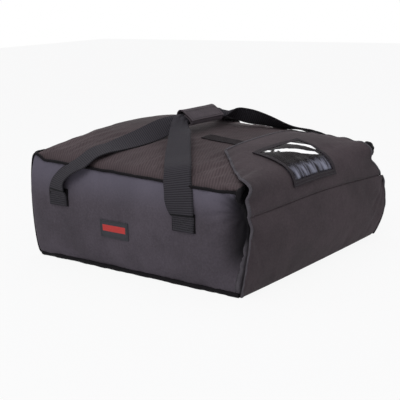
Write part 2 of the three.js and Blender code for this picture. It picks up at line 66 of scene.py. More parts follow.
# Where the pieces that bend leave one body and reach the next: flap to tongue, and bag to grip
FOLD_START, FOLD_END = (0, -0.268, 0.186), (0, -0.238, 0.214)
HANDLE_START, HANDLE_END = (0, 0, 0.150), (0, 0, 0.270)

# The side walls draw in towards the mouth, with a groove beside its binding
PULL_START, PULL_LENGTH, PULL_DEPTH = 0.172, 0.078, 0.036
GROOVE_Y, GROOVE_WIDTH, GROOVE_DEPTH = -0.2375, 0.0035, 0.003

# Cloth and padding
WALL_THICK, LINING_THICK, LINING_GAP = 0.0115, 0.0009, 0.0142
LINING_X, LINING_BACK = 0.2318, 0.2358
CORD_FLOOR, SHELL_FLOOR, SEAM_FLOOR = 0.0003, 0.0004, 0.0010

SIDES = (("left", -1), ("right", 1))
PANELS = ("bottom", "left", "right", "back", "top")
BOTTOM_PANEL, LEFT_PANEL, RIGHT_PANEL, BACK_PANEL, ROOF_PANEL = range(5)
UP, FORWARD, INWARD = (0.0, 0.0, 1.0), (0.0, -1.0, 0.0), (0.0, 1.0, 0.0)


# Numbers and lines

def smooth(value, low, high):
    share = np.clip((np.asarray(value, float) - low) / (high - low), 0, 1)
    return share * share * (3 - 2 * share)


def mix(a, b, share):
    return a + (b - a) * share


def through(places, values):
    """A smooth line that passes through the values at their places."""
    places, values = np.array(places, float), np.array(values, float)
    slopes = np.gradient(values, places, axis=0)

    def at(x):
        x = np.clip(np.asarray(x, float), places[0], places[-1])
        i = np.clip(np.searchsorted(places, x, side="right") - 1, 0, len(places) - 2)
        span = places[i + 1] - places[i]
        t = (x - places[i]) / span
        if values.ndim > 1:
            t, span = t[..., None], span[..., None]
        start = (1 + 2 * t) * (1 - t) ** 2 * values[i] + t * (1 - t) ** 2 * span * slopes[i]
        end = t * t * (3 - 2 * t) * values[i + 1] + t * t * (t - 1) * span * slopes[i + 1]
        return start + end

    return at


def route(points, count):
    """Evenly numbered points on a smooth line through a few points."""
    points = np.array(points, float)
    steps = np.sqrt(np.linalg.norm(np.diff(points[:, :3], axis=0), axis=1))
    places = np.concatenate([[0], np.cumsum(steps)])
    return through(places, points)(np.linspace(0, places[-1], count))


def spaced(points, step):
    """Points a step apart along a line. Columns after the third are carried along."""
    points = np.array(points, float)
    lengths = run_of(points[:, :3])
    at = np.linspace(0, lengths[-1], max(2, round(lengths[-1] / step) + 1))
    return np.stack([np.interp(at, lengths, column) for column in points.T], 1)


def unit(vectors):
    return vectors / np.maximum(np.linalg.norm(vectors, axis=-1, keepdims=True), 1e-9)


def alike(way, points):
    """The same way for each of the points."""
    return np.tile(np.array(way, float), (len(points), 1))


def side_by_side(*columns):
    """Columns of numbers, or of triples, joined into one table of stations."""
    return np.concatenate(columns, 1)


def run_of(points):
    """Length of a line up to each of its points."""
    return np.concatenate([[0], np.cumsum(np.linalg.norm(np.diff(points, axis=0), axis=1))])


def waves(places, size, seed):
    """Smooth noise about zero. Size is the length of its waves along each axis."""
    places = np.asarray(places, float)
    scaled = places.reshape(-1, 3) / np.array(size) + seed * 11.7
    return np.array([noise.noise(p) for p in scaled.tolist()]).reshape(places.shape[:-1])


# Form of the bag

def roof_seam(x, y):
    """Height of the roof's edge, carried over the whole roof."""
    across = np.clip(x / HALF_WIDTH, -1, 1)
    back = (np.clip(y / HALF_DEPTH, -1, 1) + 1) / 2
    return MOUTH_HEIGHT + BACK_RISE * back + BACK_ARCH * (1 - across ** 2) * back ** 2


def crown_puff(x, y):
    """How far the roof swells over its edge."""
    across = np.clip(x / HALF_WIDTH, -1, 1)
    along = np.abs(np.clip(y / HALF_DEPTH, -1, 1))
    shape = (1 - np.abs(across) ** CROWN_ACROSS) * (1 - along ** CROWN_ALONG)
    return CROWN_RISE * (1 + CROWN_LEAN * across) * shape


def crown(x, y):
    return roof_seam(x, y) + crown_puff(x, y)


def seam_drop(x, y):
    """How far the top seam lies under the roof's full edge, most along the sides."""
    to_side, to_back = smooth(np.abs(x), 0.200, 0.243), smooth(y, 0.222, 0.250)
    return SEAM_DROP + SIDE_DROP * to_side * (1 - to_back) + BACK_DROP * to_back * (1 - to_side)


def swell(share):
    return 1 - np.clip(share, -1, 1) ** 2


def side_swell(y, z):
    top = roof_seam(HALF_WIDTH, y)
    return SIDE_BULGE * swell(y / HALF_DEPTH) * swell((z - top / 2) / (top / 2))


def back_swell(x, z):
    top = roof_seam(x, HALF_DEPTH)
    return BACK_BULGE * swell(x / HALF_WIDTH) * swell((z - top / 2) / (top / 2))


def rim_pull(y, z):
    """The side walls draw in towards the mouth, most above half height."""
    height = np.clip(np.sin(np.pi * np.clip(z / MOUTH_HEIGHT, 0, 1) ** 1.4), 0, 1)
    groove = GROOVE_DEPTH * np.exp(-((y - GROOVE_Y) / GROOVE_WIDTH) ** 2)
    return height * (PULL_DEPTH * np.clip((-y - PULL_START) / PULL_LENGTH, 0, 1) ** 2.2 + groove)


def side_face(y, z):
    """Distance of the outer cloth of a side from the middle plane."""
    return HALF_WIDTH + 0.0012 + side_swell(y, z) - rim_pull(y, z)


def roll(distance):
    """A panel rises out of its seam as a quarter of an ellipse."""
    return np.sqrt(1 - (1 - np.clip(distance / SEAM_REACH, 0, 1)) ** 2)


class Skin:
    """The outer cloth as it came out, to lay other pieces on. Rays find it from outside."""

    tree = None
    side_start, top_start, ray_length = 0.4, 0.5, 0.4

    def depth(self, start, way, otherwise):
        if np.ndim(otherwise):
            return np.array([self.depth(p, way, o) for p, o in zip(start, otherwise)])
        hit = self.tree.ray_cast(Vector(start), Vector(way), self.ray_length)[3]
        return otherwise if hit is None else hit

    def side(self, side, y, z):
        """Distance of a side's cloth from the middle plane."""
        y, z = np.broadcast_arrays(np.asarray(y, float), z)
        expected = np.asarray(side_face(y, z))
        start = np.stack([np.full(y.shape, side * self.side_start), y, z], -1).reshape(-1, 3)
        found = self.depth(start, (-side, 0, 0), self.side_start - expected.reshape(-1))
        return self.side_start - np.asarray(found).reshape(y.shape)

    def top(self, x, y):
        """Height of the roof's cloth."""
        x, y = np.broadcast_arrays(np.asarray(x, float), y)
        expected = np.asarray(crown(x, y))
        start = np.stack([x, y, np.full(x.shape, self.top_start)], -1).reshape(-1, 3)
        found = self.depth(start, (0, 0, -1), self.top_start - expected.reshape(-1))
        return self.top_start - np.asarray(found).reshape(x.shape)


skin = Skin()


# Finishes

class Wire:
    """A value, colour or vector in a finish. Sums on values add Math nodes."""

    def __init__(self, nodes, socket):
        self.nodes, self.socket = nodes, socket

    def math(self, operation, *others):
        inputs = dict(enumerate((self, *others)))
        return self.nodes.node("ShaderNodeMath", {"operation": operation}, inputs)

    def __add__(self, other):
        return self.math("ADD", other)

    def __sub__(self, other):
        return self.math("SUBTRACT", other)

    def __rsub__(self, other):
        return (self * -1).math("ADD", other)

    def __mul__(self, other):
        return self.math("MULTIPLY", other)

    def __pow__(self, other):
        return self.math("POWER", other)

    __radd__, __rmul__ = __add__, __mul__

    def sine(self):
        return self.math("SINE")

    def size(self):
        return self.math("ABSOLUTE")

    def rise(self, low, high):
        """0 below low, 1 above high, smooth between."""
        inputs = {"Value": self, "From Min": low, "From Max": high}
        return self.nodes.node("ShaderNodeMapRange", {"interpolation_type": "SMOOTHSTEP"}, inputs)


class Nodes:
    """Adds nodes to a tree one by one."""

    def __init__(self, tree):
        self.tree = tree

    def node(self, kind, settings=None, inputs=None, output=0):
        """One node: its settings first, then what goes into its sockets."""
        node = self.tree.nodes.new(kind)
        for name, value in (settings or {}).items():
            setattr(node, name, value)
        for name, value in (inputs or {}).items():
            if isinstance(value, Wire):
                self.tree.links.new(value.socket, node.inputs[name])
            else:
                node.inputs[name].default_value = value
        return Wire(self, node.outputs[output])

    def place(self, attribute, axes):
        """A place that the points carry, whole and by its axes."""
        whole = self.node("ShaderNodeAttribute", {"attribute_name": attribute}, output="Vector")
        split = self.node("ShaderNodeSeparateXYZ", None, {0: whole}).socket.node
        return whole, *(Wire(self, split.outputs[axis]) for axis in range(axes))

    def lay(self):
        """Place on the cloth in metres: along and across the weave."""
        return self.place("lay", 2)

    def rest(self):
        """Place on the bag in metres, as it stands at rest."""
        return self.place("rest", 3)

    def grain(self, place, scale, detail=2.0, stretch=None):
        """Cloudy noise from 0 to 1. Scale is waves a metre."""
        if stretch:
            settings = {"operation": "MULTIPLY"}
            place = self.node("ShaderNodeVectorMath", settings, {0: place, 1: stretch})
        inputs = {"Vector": place, "Scale": scale, "Detail": detail, "Roughness": 0.55}
        return self.node("ShaderNodeTexNoise", None, inputs)

    def blend(self, share, low, high):
        """A colour between two colours."""
        as_colour = lambda c: c if isinstance(c, Wire) else (*c, 1)
        inputs = {0: share, 6: as_colour(low), 7: as_colour(high)}
        return self.node("ShaderNodeMix", {"data_type": "RGBA"}, inputs, output=2)

    def bump(self, height, depth, strength=1.0, under=None):
        inputs = {"Height": height, "Distance": depth, "Strength": strength}
        if under:
            inputs["Normal"] = under
        return self.node("ShaderNodeBump", None, inputs)


class Finish(Nodes):
    """A material and the nodes that make its look."""

    def __init__(self, name, slot, **shader):
        self.material = bpy.data.materials.new(name)
        self.material.use_nodes = True
        super().__init__(self.material.node_tree)
        self.slot = slot
        self.shader = self.tree.nodes["Principled BSDF"]
        for socket, value in shader.items():
            self.shader.inputs[socket.replace("_", " ")].default_value = value

    def set(self, **links):
        for socket, wire in links.items():
            self.tree.links.new(wire.socket, self.shader.inputs[socket.replace("_", " ")])
        return self


def threads(finish, pitch):
    """Over-and-under threads of a plain weave, from 0 to 1."""
    _, along, across = finish.lay()
    turn = math.pi / pitch
    return (along * turn).sine() * (across * turn).sine() * 0.5 + 0.5


# How far apart the threads and ribs of each cloth lie
NYLON_THREAD, LABEL_THREAD, TAPE_RIB = 0.0011, 0.0009, 0.0012
WEBBING_RIB, WEBBING_THREAD, SELVEDGE = 0.0042, 0.0017, (0.0215, 0.0235)
# Colours of the painted light on a side's upper band, and of the painted shade where it turns in at
# the mouth
PAINTED_TOP_LIGHT, PAINTED_MOUTH_SHADE = (0.205, 0.192, 0.246), (0.004, 0.004, 0.005)
# The roof's slanting ribs: how far apart they lie, and which way they run
RIB_PITCH, RIB_WAY = 0.0052, (0.42, 0.91)


def coated_cloth(name, light, dark, slot="nylon", painted_shading=False, ribs_and_painted_light=False):
    """Coated nylon: a fine plain weave, cloudy tone, thin crease marks and a soft sheen.

    Where asked, a side's cloth has painted light on its upper band under the top seam, and painted
    shade where it turns in at the mouth.
    Where asked, the roof's cloth shows slanting ribs, and is lighter towards the bag's left and right
    and darker in the middle under the grip: painted light and shade.
    """
    finish = Finish(name, slot, Specular_IOR_Level=0.10, Sheen_Weight=0.03, Sheen_Roughness=0.45)
    place, *_ = finish.rest()
    weave = threads(finish, NYLON_THREAD)
    cloud = finish.grain(place, 9, 3)
    slubs = finish.grain(place, 260, 2)
    creases = finish.grain(place, 55, 4, (1.0, 1.0, 0.6))
    tone = (cloud * 0.6 + slubs * 0.25 + weave * 0.15).rise(0.3, 0.75)
    wear = creases.rise(0.62, 0.8) * 0.25
    colour = finish.blend(wear, finish.blend(tone, dark, light), tuple(1.25 * c for c in light))
    if painted_shading:
        _, _, y, z = finish.rest()
        # Painted light: the upper band of a side is lighter
        colour = finish.blend(z.rise(0.120, 0.195) * 0.52, colour, PAINTED_TOP_LIGHT)
        # Painted shade where the side turns in at the mouth, behind the flap
        inside = (y * -1).rise(0.205, 0.246) * z.rise(0.030, 0.085) * (1 - z.rise(0.172, 0.188))
        colour = finish.blend(inside * 0.92, colour, PAINTED_MOUTH_SHADE)
    if ribs_and_painted_light:
        _, x, y, _ = finish.rest()
        # Painted light towards the left and right edges; the middle under the grip stays darker as
        # painted shade
        painted_side_light = tuple(1.7 * c for c in light)
        colour = finish.blend(x.size().rise(0.04, 0.21) * 0.34, colour, painted_side_light)
        over_ribs = x * RIB_WAY[0] - y * RIB_WAY[1]
        ribs = (over_ribs * (2 * math.pi / RIB_PITCH)).sine() * 0.5 + 0.5
        colour = finish.blend(ribs * 0.48, colour, dark)
    folds = finish.bump(creases, 0.0022, 0.5)
    fine = finish.bump(weave * 0.6 + slubs * 0.4, 0.0003, 0.55, folds)
    return finish.set(Base_Color=colour, Roughness=0.62 + cloud * 0.22, Normal=fine)


# Where a handle leaves its sewn end, and its webbing is painted in shade along the fold: its height in
# front, and how much higher it is behind
HANDLE_FOLD_Z, REAR_FOLD_RISE = 0.1385, 0.011


def ribbed_webbing(name, light, dark):
    """Webbing with ribs across it, a firm selvedge, a little fluff and painted shade of a fold at its
    ends.
    """
    finish = Finish(name, "webbing", Specular_IOR_Level=0.10, Sheen_Weight=0.02, Sheen_Roughness=0.4)
    place, along, across = finish.lay()
    ribs = ((along * (math.pi / WEBBING_RIB)).sine().size()) ** 0.7
    columns = (across * (math.pi / WEBBING_THREAD)).sine().size()
    selvedge = across.size().rise(*SELVEDGE)
    fluff = finish.grain(place, 900, 2)
    tone = (ribs * 0.48 + columns * 0.16 + fluff * 0.36) * (1 - selvedge * 0.25)
    colour = finish.blend(tone.rise(0.15, 0.95), dark, light)
    _, x, y, z = finish.rest()
    # Painted shade: a dark band where each handle folds out of its sewn end
    from_fold = (z - y.rise(-0.01, 0.01) * REAR_FOLD_RISE - HANDLE_FOLD_Z).size()
    fold = (1 - from_fold.rise(0.0008, 0.0030)) * x.size().rise(0.19, 0.20)
    colour = finish.blend(fold * 0.9, colour, (0.005, 0.005, 0.006))
    height = ribs * 0.7 + columns * 0.2 + selvedge * 0.4
    return finish.set(
        Base_Color=colour, Roughness=0.6 + fluff * 0.25, Normal=finish.bump(height, 0.0006, 0.8)
    )


def folded_tape(name, light, dark, painted_shading=False):
    """Grosgrain binding tape: fine cross ribs and a worn fold.

    Where asked, the tape has painted shade on its upper part, where the walls turn in at the mouth
    behind the flap.
    """
    finish = Finish(name, "trim", Specular_IOR_Level=0.08, Sheen_Weight=0.02, Sheen_Roughness=0.4)
    place, along, _ = finish.lay()
    ribs = (along * (math.pi / TAPE_RIB)).sine().size()
    rub = finish.grain(place, 70, 3)
    tone = (ribs * 0.35 + rub * 0.65).rise(0.25, 0.8)
    height = ribs * 0.5 + rub
    colour = finish.blend(tone, dark, light)
    if painted_shading:
        # Painted shade above the tape's lower part, behind the flap's edge
        *_, z = finish.rest()
        colour = finish.blend(z.rise(0.080, 0.104) * 0.9, colour, (0.006, 0.006, 0.007))
    return finish.set(
        Base_Color=colour,
        Roughness=0.55 + rub * 0.25,
        Normal=finish.bump(height, 0.0005, 0.6),
    )


def pile(name, light, dark, scale):
    """Hook or loop tape: a dense pile of tiny loops."""
    shader = {"Specular_IOR_Level": 0.08, "Sheen_Weight": 0.02, "Sheen_Roughness": 0.6}
    finish = Finish(name, "hook_and_loop", **shader)
    place, *_ = finish.rest()
    loops = finish.node("ShaderNodeTexVoronoi", None, {"Vector": place, "Scale": scale})
    fluff = finish.grain(place, scale * 0.7, 3)
    colour = finish.blend((loops * 0.7 + fluff * 0.4).rise(0.1, 0.9), dark, light)
    return finish.set(
        Base_Color=colour, Roughness=0.85 + fluff * 0.1, Normal=finish.bump(loops + fluff, 0.0008)
    )


def clear_vinyl():
    """Soft clear film: glossy, gently rippled, with milky marks where it has creased, and two streaks
    of painted reflection that glow.
    """
    finish = Finish("clear_vinyl", "clear_film", IOR=1.12, Emission_Strength=1.0)
    place, along, across = finish.lay()
    ripples = finish.grain(place, 22, 1, (1.0, 0.45, 1.0))
    streak = finish.grain(place, 34, 3, (0.5, 1.0, 1.0))
    comb = finish.grain(place, 70, 2, (1.0, 0.20, 1.0))
    # Two wedges of painted reflection run slantwise from the rear edge to the right edge
    from_rear = across * -1 + WINDOW["length"]
    uneven = (streak - 0.5) * 0.022
    slant = from_rear - along * 0.48 + uneven + 0.0035
    broad = 0.0082 - (along - 0.090).size() * 0.06
    wide = (1 - (slant.size() - broad).rise(-0.0005, 0.0005)) * along.rise(0.016, 0.022)
    wide = wide * (streak + along * 3.0).rise(0.52, 0.57) * (1 - along.rise(0.128, 0.133))
    steep = from_rear - along * 1.0 + 0.103 + uneven
    narrow = 1 - (steep.size() - 0.0075).rise(-0.0005, 0.0005)
    painted_glare = (wide + narrow).math("MINIMUM", 1.0)
    foot = (1 - (across + (comb - 0.5) * 0.050).rise(0.032, 0.046)) * comb.rise(0.32, 0.66)
    foot = foot * across.rise(0.010, 0.016)
    milky = finish.blend(foot, (0.016, 0.012, 0.015), (0.38, 0.39, 0.48))
    return finish.set(
        Base_Color=finish.blend(painted_glare, milky, (0.92, 0.92, 0.91)),
        # The painted reflection also glows, though the film is no lamp
        Emission_Color=finish.blend(painted_glare, (0, 0, 0), (0.42, 0.42, 0.42)),
        Alpha=(painted_glare * 0.6 + foot * 0.30 + 0.58).math("MINIMUM", 1.0),
        Roughness=0.08 + (painted_glare + foot) * 0.25,
        Normal=finish.bump(ripples, 0.002, 0.5),
    )


# The red band's edges across and along the label, each from where it starts to where it is full
BAND_LOW, BAND_HIGH = (0.0125, 0.0129), (0.0249, 0.0253)
BAND_START, BAND_END = (0.0065, 0.0069), (0.0651, 0.0655)


def woven_label():
    """Dark woven patch with one plain red band."""
    finish = Finish("woven_label", "label", Specular_IOR_Level=0.3, Sheen_Weight=0.05)
    place, along, across = finish.lay()
    weave = threads(finish, LABEL_THREAD)
    band = across.rise(*BAND_LOW) * (1 - across.rise(*BAND_HIGH))
    inset = along.rise(*BAND_START) * (1 - along.rise(*BAND_END))
    fleck = finish.grain(place, 700, 2)
    red = finish.blend(fleck, (0.52, 0.035, 0.035), (0.72, 0.075, 0.065))
    ground = finish.blend(weave * 0.5 + fleck * 0.5, (0.022, 0.024, 0.030), (0.060, 0.062, 0.072))
    return finish.set(
        Base_Color=finish.blend(band * inset, ground, red),
        Roughness=0.6 + fleck * 0.2,
        Normal=finish.bump(weave + band * inset * 0.8, 0.0003, 0.6),
    )


def sewing_thread(name, colour):
    finish = Finish(name, "trim")
    place, *_ = finish.rest()
    twist = finish.grain(place, 1500, 1)
    tone = finish.blend(twist, tuple(0.6 * c for c in colour), colour)
    return finish.set(Base_Color=tone, Roughness=0.45 + twist * 0.2)


# The sides, roof and flap are one coated nylon: their lighter bluish sides, browner roof and darker
# flap are painted light and shade
side_cloth = coated_cloth("side_nylon", (0.134, 0.115, 0.137), (0.072, 0.062, 0.072), painted_shading=True)
roof_cloth = coated_cloth("roof_nylon", (0.110, 0.083, 0.086), (0.041, 0.031, 0.034), ribs_and_painted_light=True)
flap_cloth = coated_cloth("flap_nylon", (0.104, 0.081, 0.088), (0.050, 0.039, 0.043))
grip_cloth = coated_cloth("grip_nylon", (0.136, 0.112, 0.124), (0.080, 0.067, 0.074), "webbing")
inner_cloth = coated_cloth("lining_cloth", (0.050, 0.050, 0.055), (0.030, 0.030, 0.034), "lining")
webbing = ribbed_webbing("webbing", (0.068, 0.063, 0.073), (0.007, 0.007, 0.008))
pale_tape = folded_tape("pale_tape", (0.140, 0.128, 0.142), (0.058, 0.052, 0.060))
mouth_tape = folded_tape("mouth_tape", (0.140, 0.128, 0.142), (0.058, 0.052, 0.060), painted_shading=True)
frame_tape = folded_tape("frame_tape", (0.050, 0.041, 0.047), (0.024, 0.019, 0.023))
dark_tape = folded_tape("dark_tape", (0.014, 0.012, 0.014), (0.004, 0.004, 0.005))
loop_tape = pile("loop_tape", (0.042, 0.034, 0.037), (0.011, 0.009, 0.010), 900)
hook_tape = pile("hook_tape", (0.020, 0.020, 0.022), (0.006, 0.006, 0.007), 650)
vinyl = clear_vinyl()
label_cloth = woven_label()
dark_thread = sewing_thread("dark_thread", (0.016, 0.015, 0.018))


# Making pieces

def dress(piece, finishes):
    """Gives a piece its finishes and notes where its points lie at rest."""
    mesh = piece.data
    for finish in finishes:
        mesh.materials.append(finish.material)
    place = mesh.attributes.new("rest", "FLOAT_VECTOR", "POINT")
    places = np.empty(len(mesh.vertices) * 3, np.float32)
    mesh.vertices.foreach_get("co", places)
    place.data.foreach_set("vector", places)
    return piece


def as_piece(name, vertices, faces, finish, lay=None, which=None, edge=40):
    """A closed mesh as an object. Lay gives each point its place on the cloth."""
    finishes = finish if isinstance(finish, list) else [finish]
    mesh = bpy.data.meshes.new(name)
    mesh.from_pydata(np.asarray(vertices, float).tolist(), [], [list(map(int, f)) for f in faces])
    if lay is not None:
        coordinates = np.zeros((len(lay), 3), np.float32)
        coordinates[:, : lay.shape[1]] = lay
        domain = "POINT" if len(lay) == len(vertices) else "CORNER"
        carried = mesh.attributes.new("lay", "FLOAT_VECTOR", domain).data
        carried.foreach_set("vector", coordinates.ravel())
    if which is not None:
        mesh.polygons.foreach_set("material_index", np.array(which, np.int32))
    mesh.update()
    mesh.shade_smooth()
    mesh.set_sharp_from_angle(angle=math.radians(edge))
    piece = bpy.data.objects.new(name, mesh)
    bpy.context.scene.collection.objects.link(piece)
    return dress(piece, finishes)


def face_out(piece):
    """Turns all the faces outwards."""
    work = bmesh.new()
    work.from_mesh(piece.data)
    bmesh.ops.recalc_face_normals(work, faces=work.faces)
    work.to_mesh(piece.data)
    work.free()
    return piece


def grid_normals(grid):
    return unit(np.cross(np.gradient(grid, axis=0), np.gradient(grid, axis=1)))


def upward_normals(grid):
    """A grid's normals, on the side that looks up near the end of its middle line."""
    normals = grid_normals(grid)
    return normals * np.sign(normals[len(grid) // 2, -3, 2])


def turn_to(grid, cell, way):
    """1 where a grid's normal at the cell looks the given way, or else -1."""
    return float(np.sign(np.sum(grid_normals(grid)[cell] * way)))


def round_grid(i0, j0, i1, j1):
    """Once round a rectangle of a grid, back to where it starts."""
    walk = [(i, j0) for i in range(i0, i1)] + [(i1, j) for j in range(j0, j1)]
    walk += [(i, j1) for i in range(i1, i0, -1)] + [(i0, j) for j in range(j1, j0, -1)]
    return walk + [(i0, j0)]


def round_index(grid, i, j):
    """The same as an index, some steps in from a grid's edges."""
    last_i, last_j = len(grid) - 1, len(grid[0]) - 1
    return tuple(zip(*round_grid(i, j, last_i - i, last_j - j)))


def cloth(name, grid, thickness, finish, lift=0.0, turn=1, kept=None, start=(0.0, 0.0)):
    """A closed sheet on a grid of points. Turn is -1 where the outside is the grid's back."""
    rows, columns = grid.shape[:2]
    normals = turn * grid_normals(grid)
    layers = [grid + normals * (lift + thickness), grid + normals * lift]
    vertices = np.concatenate([layer.reshape(-1, 3) for layer in layers])
    cells = {(i, j) for i in range(rows - 1) for j in range(columns - 1)}
    if kept is not None:
        cells = {cell for cell in cells if kept(*cell)}
    at = lambda layer, i, j: (layer * rows + i) * columns + j
    faces = []
    for i, j in sorted(cells):
        ring = [(i, j), (i + 1, j), (i + 1, j + 1), (i, j + 1)]
        faces.append([at(0, *c) for c in ring])
        faces.append([at(1, *c) for c in reversed(ring)])
        beside = [(i, j - 1), (i + 1, j), (i, j + 1), (i - 1, j)]
        for k, cell in enumerate(beside):
            if cell not in cells:
                a, b = ring[k], ring[(k + 1) % 4]
                faces.append([at(0, *a), at(1, *a), at(1, *b), at(0, *b)])
    row_steps = np.linalg.norm(np.diff(grid, axis=0), axis=2).mean(axis=1)
    column_steps = np.linalg.norm(np.diff(grid, axis=1), axis=2).mean(axis=0)
    along = start[0] + np.concatenate([[0], np.cumsum(row_steps)])
    across = start[1] + np.concatenate([[0], np.cumsum(column_steps)])
    places = np.stack(np.meshgrid(along, across, indexing="ij"), -1).reshape(-1, 2)
    used = sorted({v for f in faces for v in f})
    new = {v: n for n, v in enumerate(used)}
    faces = [[new[v] for v in f] for f in faces]
    lay = np.concatenate([places, places])[used]
    return face_out(as_piece(name, vertices[used], faces, finish, lay))


def swept(name, centres, sideways, outwards, section, finish, closed=False, edge=50):
    """A closed body that follows a line, with one section or one for each point."""
    count = len(centres)
    section = np.broadcast_to(np.asarray(section, float), (count, *np.asarray(section).shape[-2:]))
    sides = section.shape[1]
    a, b = section[:, :, :1], section[:, :, 1:2]
    rings = centres[:, None, :] + a * sideways[:, None, :] + b * outwards[:, None, :]
    rings[..., 2] = np.maximum(rings[..., 2], CORD_FLOOR)
    faces = []
    for i in range(count if closed else count - 1):
        near, far = i * sides, (i + 1) % count * sides
        for k in range(sides):
            n = (k + 1) % sides
            faces.append([near + k, near + n, far + n, far + k])
    if not closed:
        faces.append(list(range(sides))[::-1])
        faces.append([(count - 1) * sides + k for k in range(sides)])
    lay = np.stack(np.meshgrid(run_of(centres), run_of(section[0]), indexing="ij"), -1).reshape(-1, 2)
    return face_out(as_piece(name, rings.reshape(-1, 3), faces, finish, lay, edge=edge))


def cord(name, centres, way, section):
    """Dark tape rolled up along a line, which never runs the given way."""
    along = unit(np.gradient(centres, axis=0))
    out = unit(np.cross(along, alike(way, centres)))
    return swept(name, centres, out, unit(np.cross(out, along)), section, dark_tape)


def circle(radius, sides=10):
    turns = np.arange(sides) * 2 * math.pi / sides
    return np.stack([np.cos(turns), np.sin(turns)], 1) * radius


def bound_edge(name, edge, reach, thickness, finish, ripple, seed, closed=False):
    """Tape folded over an edge, which is its points with the ways in and out."""
    stations = spaced(side_by_side(*edge), 0.004)
    if closed:
        stations = stations[:-1]
    centres, inwards, outwards = stations[:, :3], unit(stations[:, 3:6]), unit(stations[:, 6:9])
    half = thickness / 2
    section = np.array([
        (reach, half), (reach * 0.5, half * 1.06), (0.001, half), (-0.0006, half * 0.72),
        (-0.0012, 0), (-0.0006, -half * 0.72), (0.001, -half), (reach * 0.5, -half * 1.06),
        (reach, -half),
    ])
    puckers = waves(centres, (0.011,) * 3, seed)
    rock = waves(centres, (0.035,) * 3, seed + 1)
    centres = centres + outwards * (puckers * ripple)[:, None] - inwards * (rock * ripple)[:, None]
    scale = np.ones((len(centres), len(section), 2))
    scale[:, :, 1] += 0.18 * waves(centres, (0.006,) * 3, seed + 2)[:, None]
    return swept(name, centres, inwards, outwards, section[None] * scale, finish, closed, 70)


def stitches(name, row, out, pitch=0.0042, length=0.0031, radius=0.00042):
    """Single stitches along a row of points, with the way out of the cloth for each or for all."""
    out = out if np.ndim(out) > 1 else alike(out, row)
    stations = spaced(side_by_side(row, out), pitch / 2)
    vertices, faces = [], []
    for i in range(1, len(stations) - 1, 2):
        centre, out = stations[i, :3], unit(stations[i, 3:6])
        along = unit(stations[i + 1, :3] - stations[i - 1, :3])
        side = unit(np.cross(along, out))
        base = len(vertices)
        for step, share in ((-0.5, 0.45), (-0.3, 1.0), (0.3, 1.0), (0.5, 0.45)):
            middle = centre + along * step * length
            for a, b in ((1, 0), (0, 1), (-1, 0), (0, -1)):
                vertices.append(middle + (side * a + out * b) * radius * share)
        for ring in range(3):
            for k in range(4):
                n, low = (k + 1) % 4, base + ring * 4
                faces.append([low + k, low + n, low + 4 + n, low + 4 + k])
        faces.append([base + k for k in (3, 2, 1, 0)])
        faces.append([base + 12 + k for k in range(4)])
    return as_piece(name, vertices, faces, dark_thread, edge=60)


def small_stitches(name, row, out):
    return stitches(name, row, out, 0.0036, 0.0027, 0.0004)


def edge_stitches(name, edge, reach, lift):
    """Stitches through the tape along an edge."""
    points, inwards, outwards = edge
    row = points + inwards * reach + outwards * lift
    row[:, 2] = np.maximum(row[:, 2], SEAM_FLOOR)
    return stitches(name, row, outwards)


def points_of(piece, kind="co"):
    """Where a piece's points are, or with normal, which way they look."""
    places = np.empty(len(piece.data.vertices) * 3)
    piece.data.vertices.foreach_get(kind, places)
    return places.reshape(-1, 3)


def put_points(piece, places):
    piece.data.vertices.foreach_set("co", np.asarray(places, np.float32).ravel())
    piece.data.update()


def bake_modifiers(piece):
    """Applies the modifiers, so that the piece is its final mesh."""
    shaped = piece.evaluated_get(bpy.context.evaluated_depsgraph_get())
    mesh = bpy.data.meshes.new_from_object(shaped)
    piece.modifiers.clear()
    piece.data = mesh


def subdivide(piece):
    modifier = piece.modifiers.new("Rounding", "SUBSURF")
    modifier.levels = modifier.render_levels = 1
    modifier.boundary_smooth = "PRESERVE_CORNERS"
    bake_modifiers(piece)


def thicken(piece, thickness, offset):
    wall = piece.modifiers.new("Wall", "SOLIDIFY")
    wall.thickness, wall.offset = thickness, offset
    bake_modifiers(piece)


def billow(piece, held, pressure, cap, slack, steps=18, bending=0.6):
    """Lets the cloth swell between the points that are held, by no more than the cap."""
    start = points_of(piece)
    group = piece.vertex_groups.new(name="held")
    for share in np.unique(np.round(held, 2)):
        if share > 0:
            chosen = np.flatnonzero(np.round(held, 2) == share).tolist()
            group.add(chosen, float(share), "REPLACE")
    modifier = piece.modifiers.new("Cloth", "CLOTH")
    modifier.point_cache.frame_end = steps
    settings = modifier.settings
    settings.quality = 6
    settings.mass = 0.3
    settings.tension_stiffness = settings.compression_stiffness = 18
    settings.shear_stiffness = 8
    settings.bending_stiffness = bending
    settings.vertex_group_mass = "held"
    settings.shrink_min = -slack
    settings.use_pressure = True
    settings.uniform_pressure_force = pressure
    settings.effector_weights.gravity = 0
    scene = bpy.context.scene
    for step in range(1, steps + 1):
        scene.frame_set(step)
    shaped = piece.evaluated_get(bpy.context.evaluated_depsgraph_get())
    moved = np.empty(len(start) * 3)
    shaped.data.vertices.foreach_get("co", moved)
    piece.modifiers.clear()
    piece.vertex_groups.clear()
    scene.frame_set(1)
    shift = moved.reshape(-1, 3) - start
    far = np.linalg.norm(shift, axis=1, keepdims=True)
    cap = np.reshape(cap, (-1, 1)) * np.ones_like(far)
    put_points(piece, start + shift * np.minimum(1, cap * np.tanh(far / cap) / np.maximum(far, 1e-9)))


def on(body, piece, *nodes):
    """A piece rides on one body and stands for its nodes."""
    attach(piece, body)
    if nodes:
        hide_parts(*nodes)


def over_fold(piece, *nodes):
    """A piece that lies from the flap over the fold to the tongue: its place is baked into its mesh,
    and it stands for its nodes.
    """
    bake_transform(piece)
    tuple(FOLD_START)
    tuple(FOLD_END)
    if nodes:
        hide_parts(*nodes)


# Outer shell and lining

def crowd(share):
    """Closer rows near the edges of a panel."""
    return share * (1.35 - 0.35 * share * share)


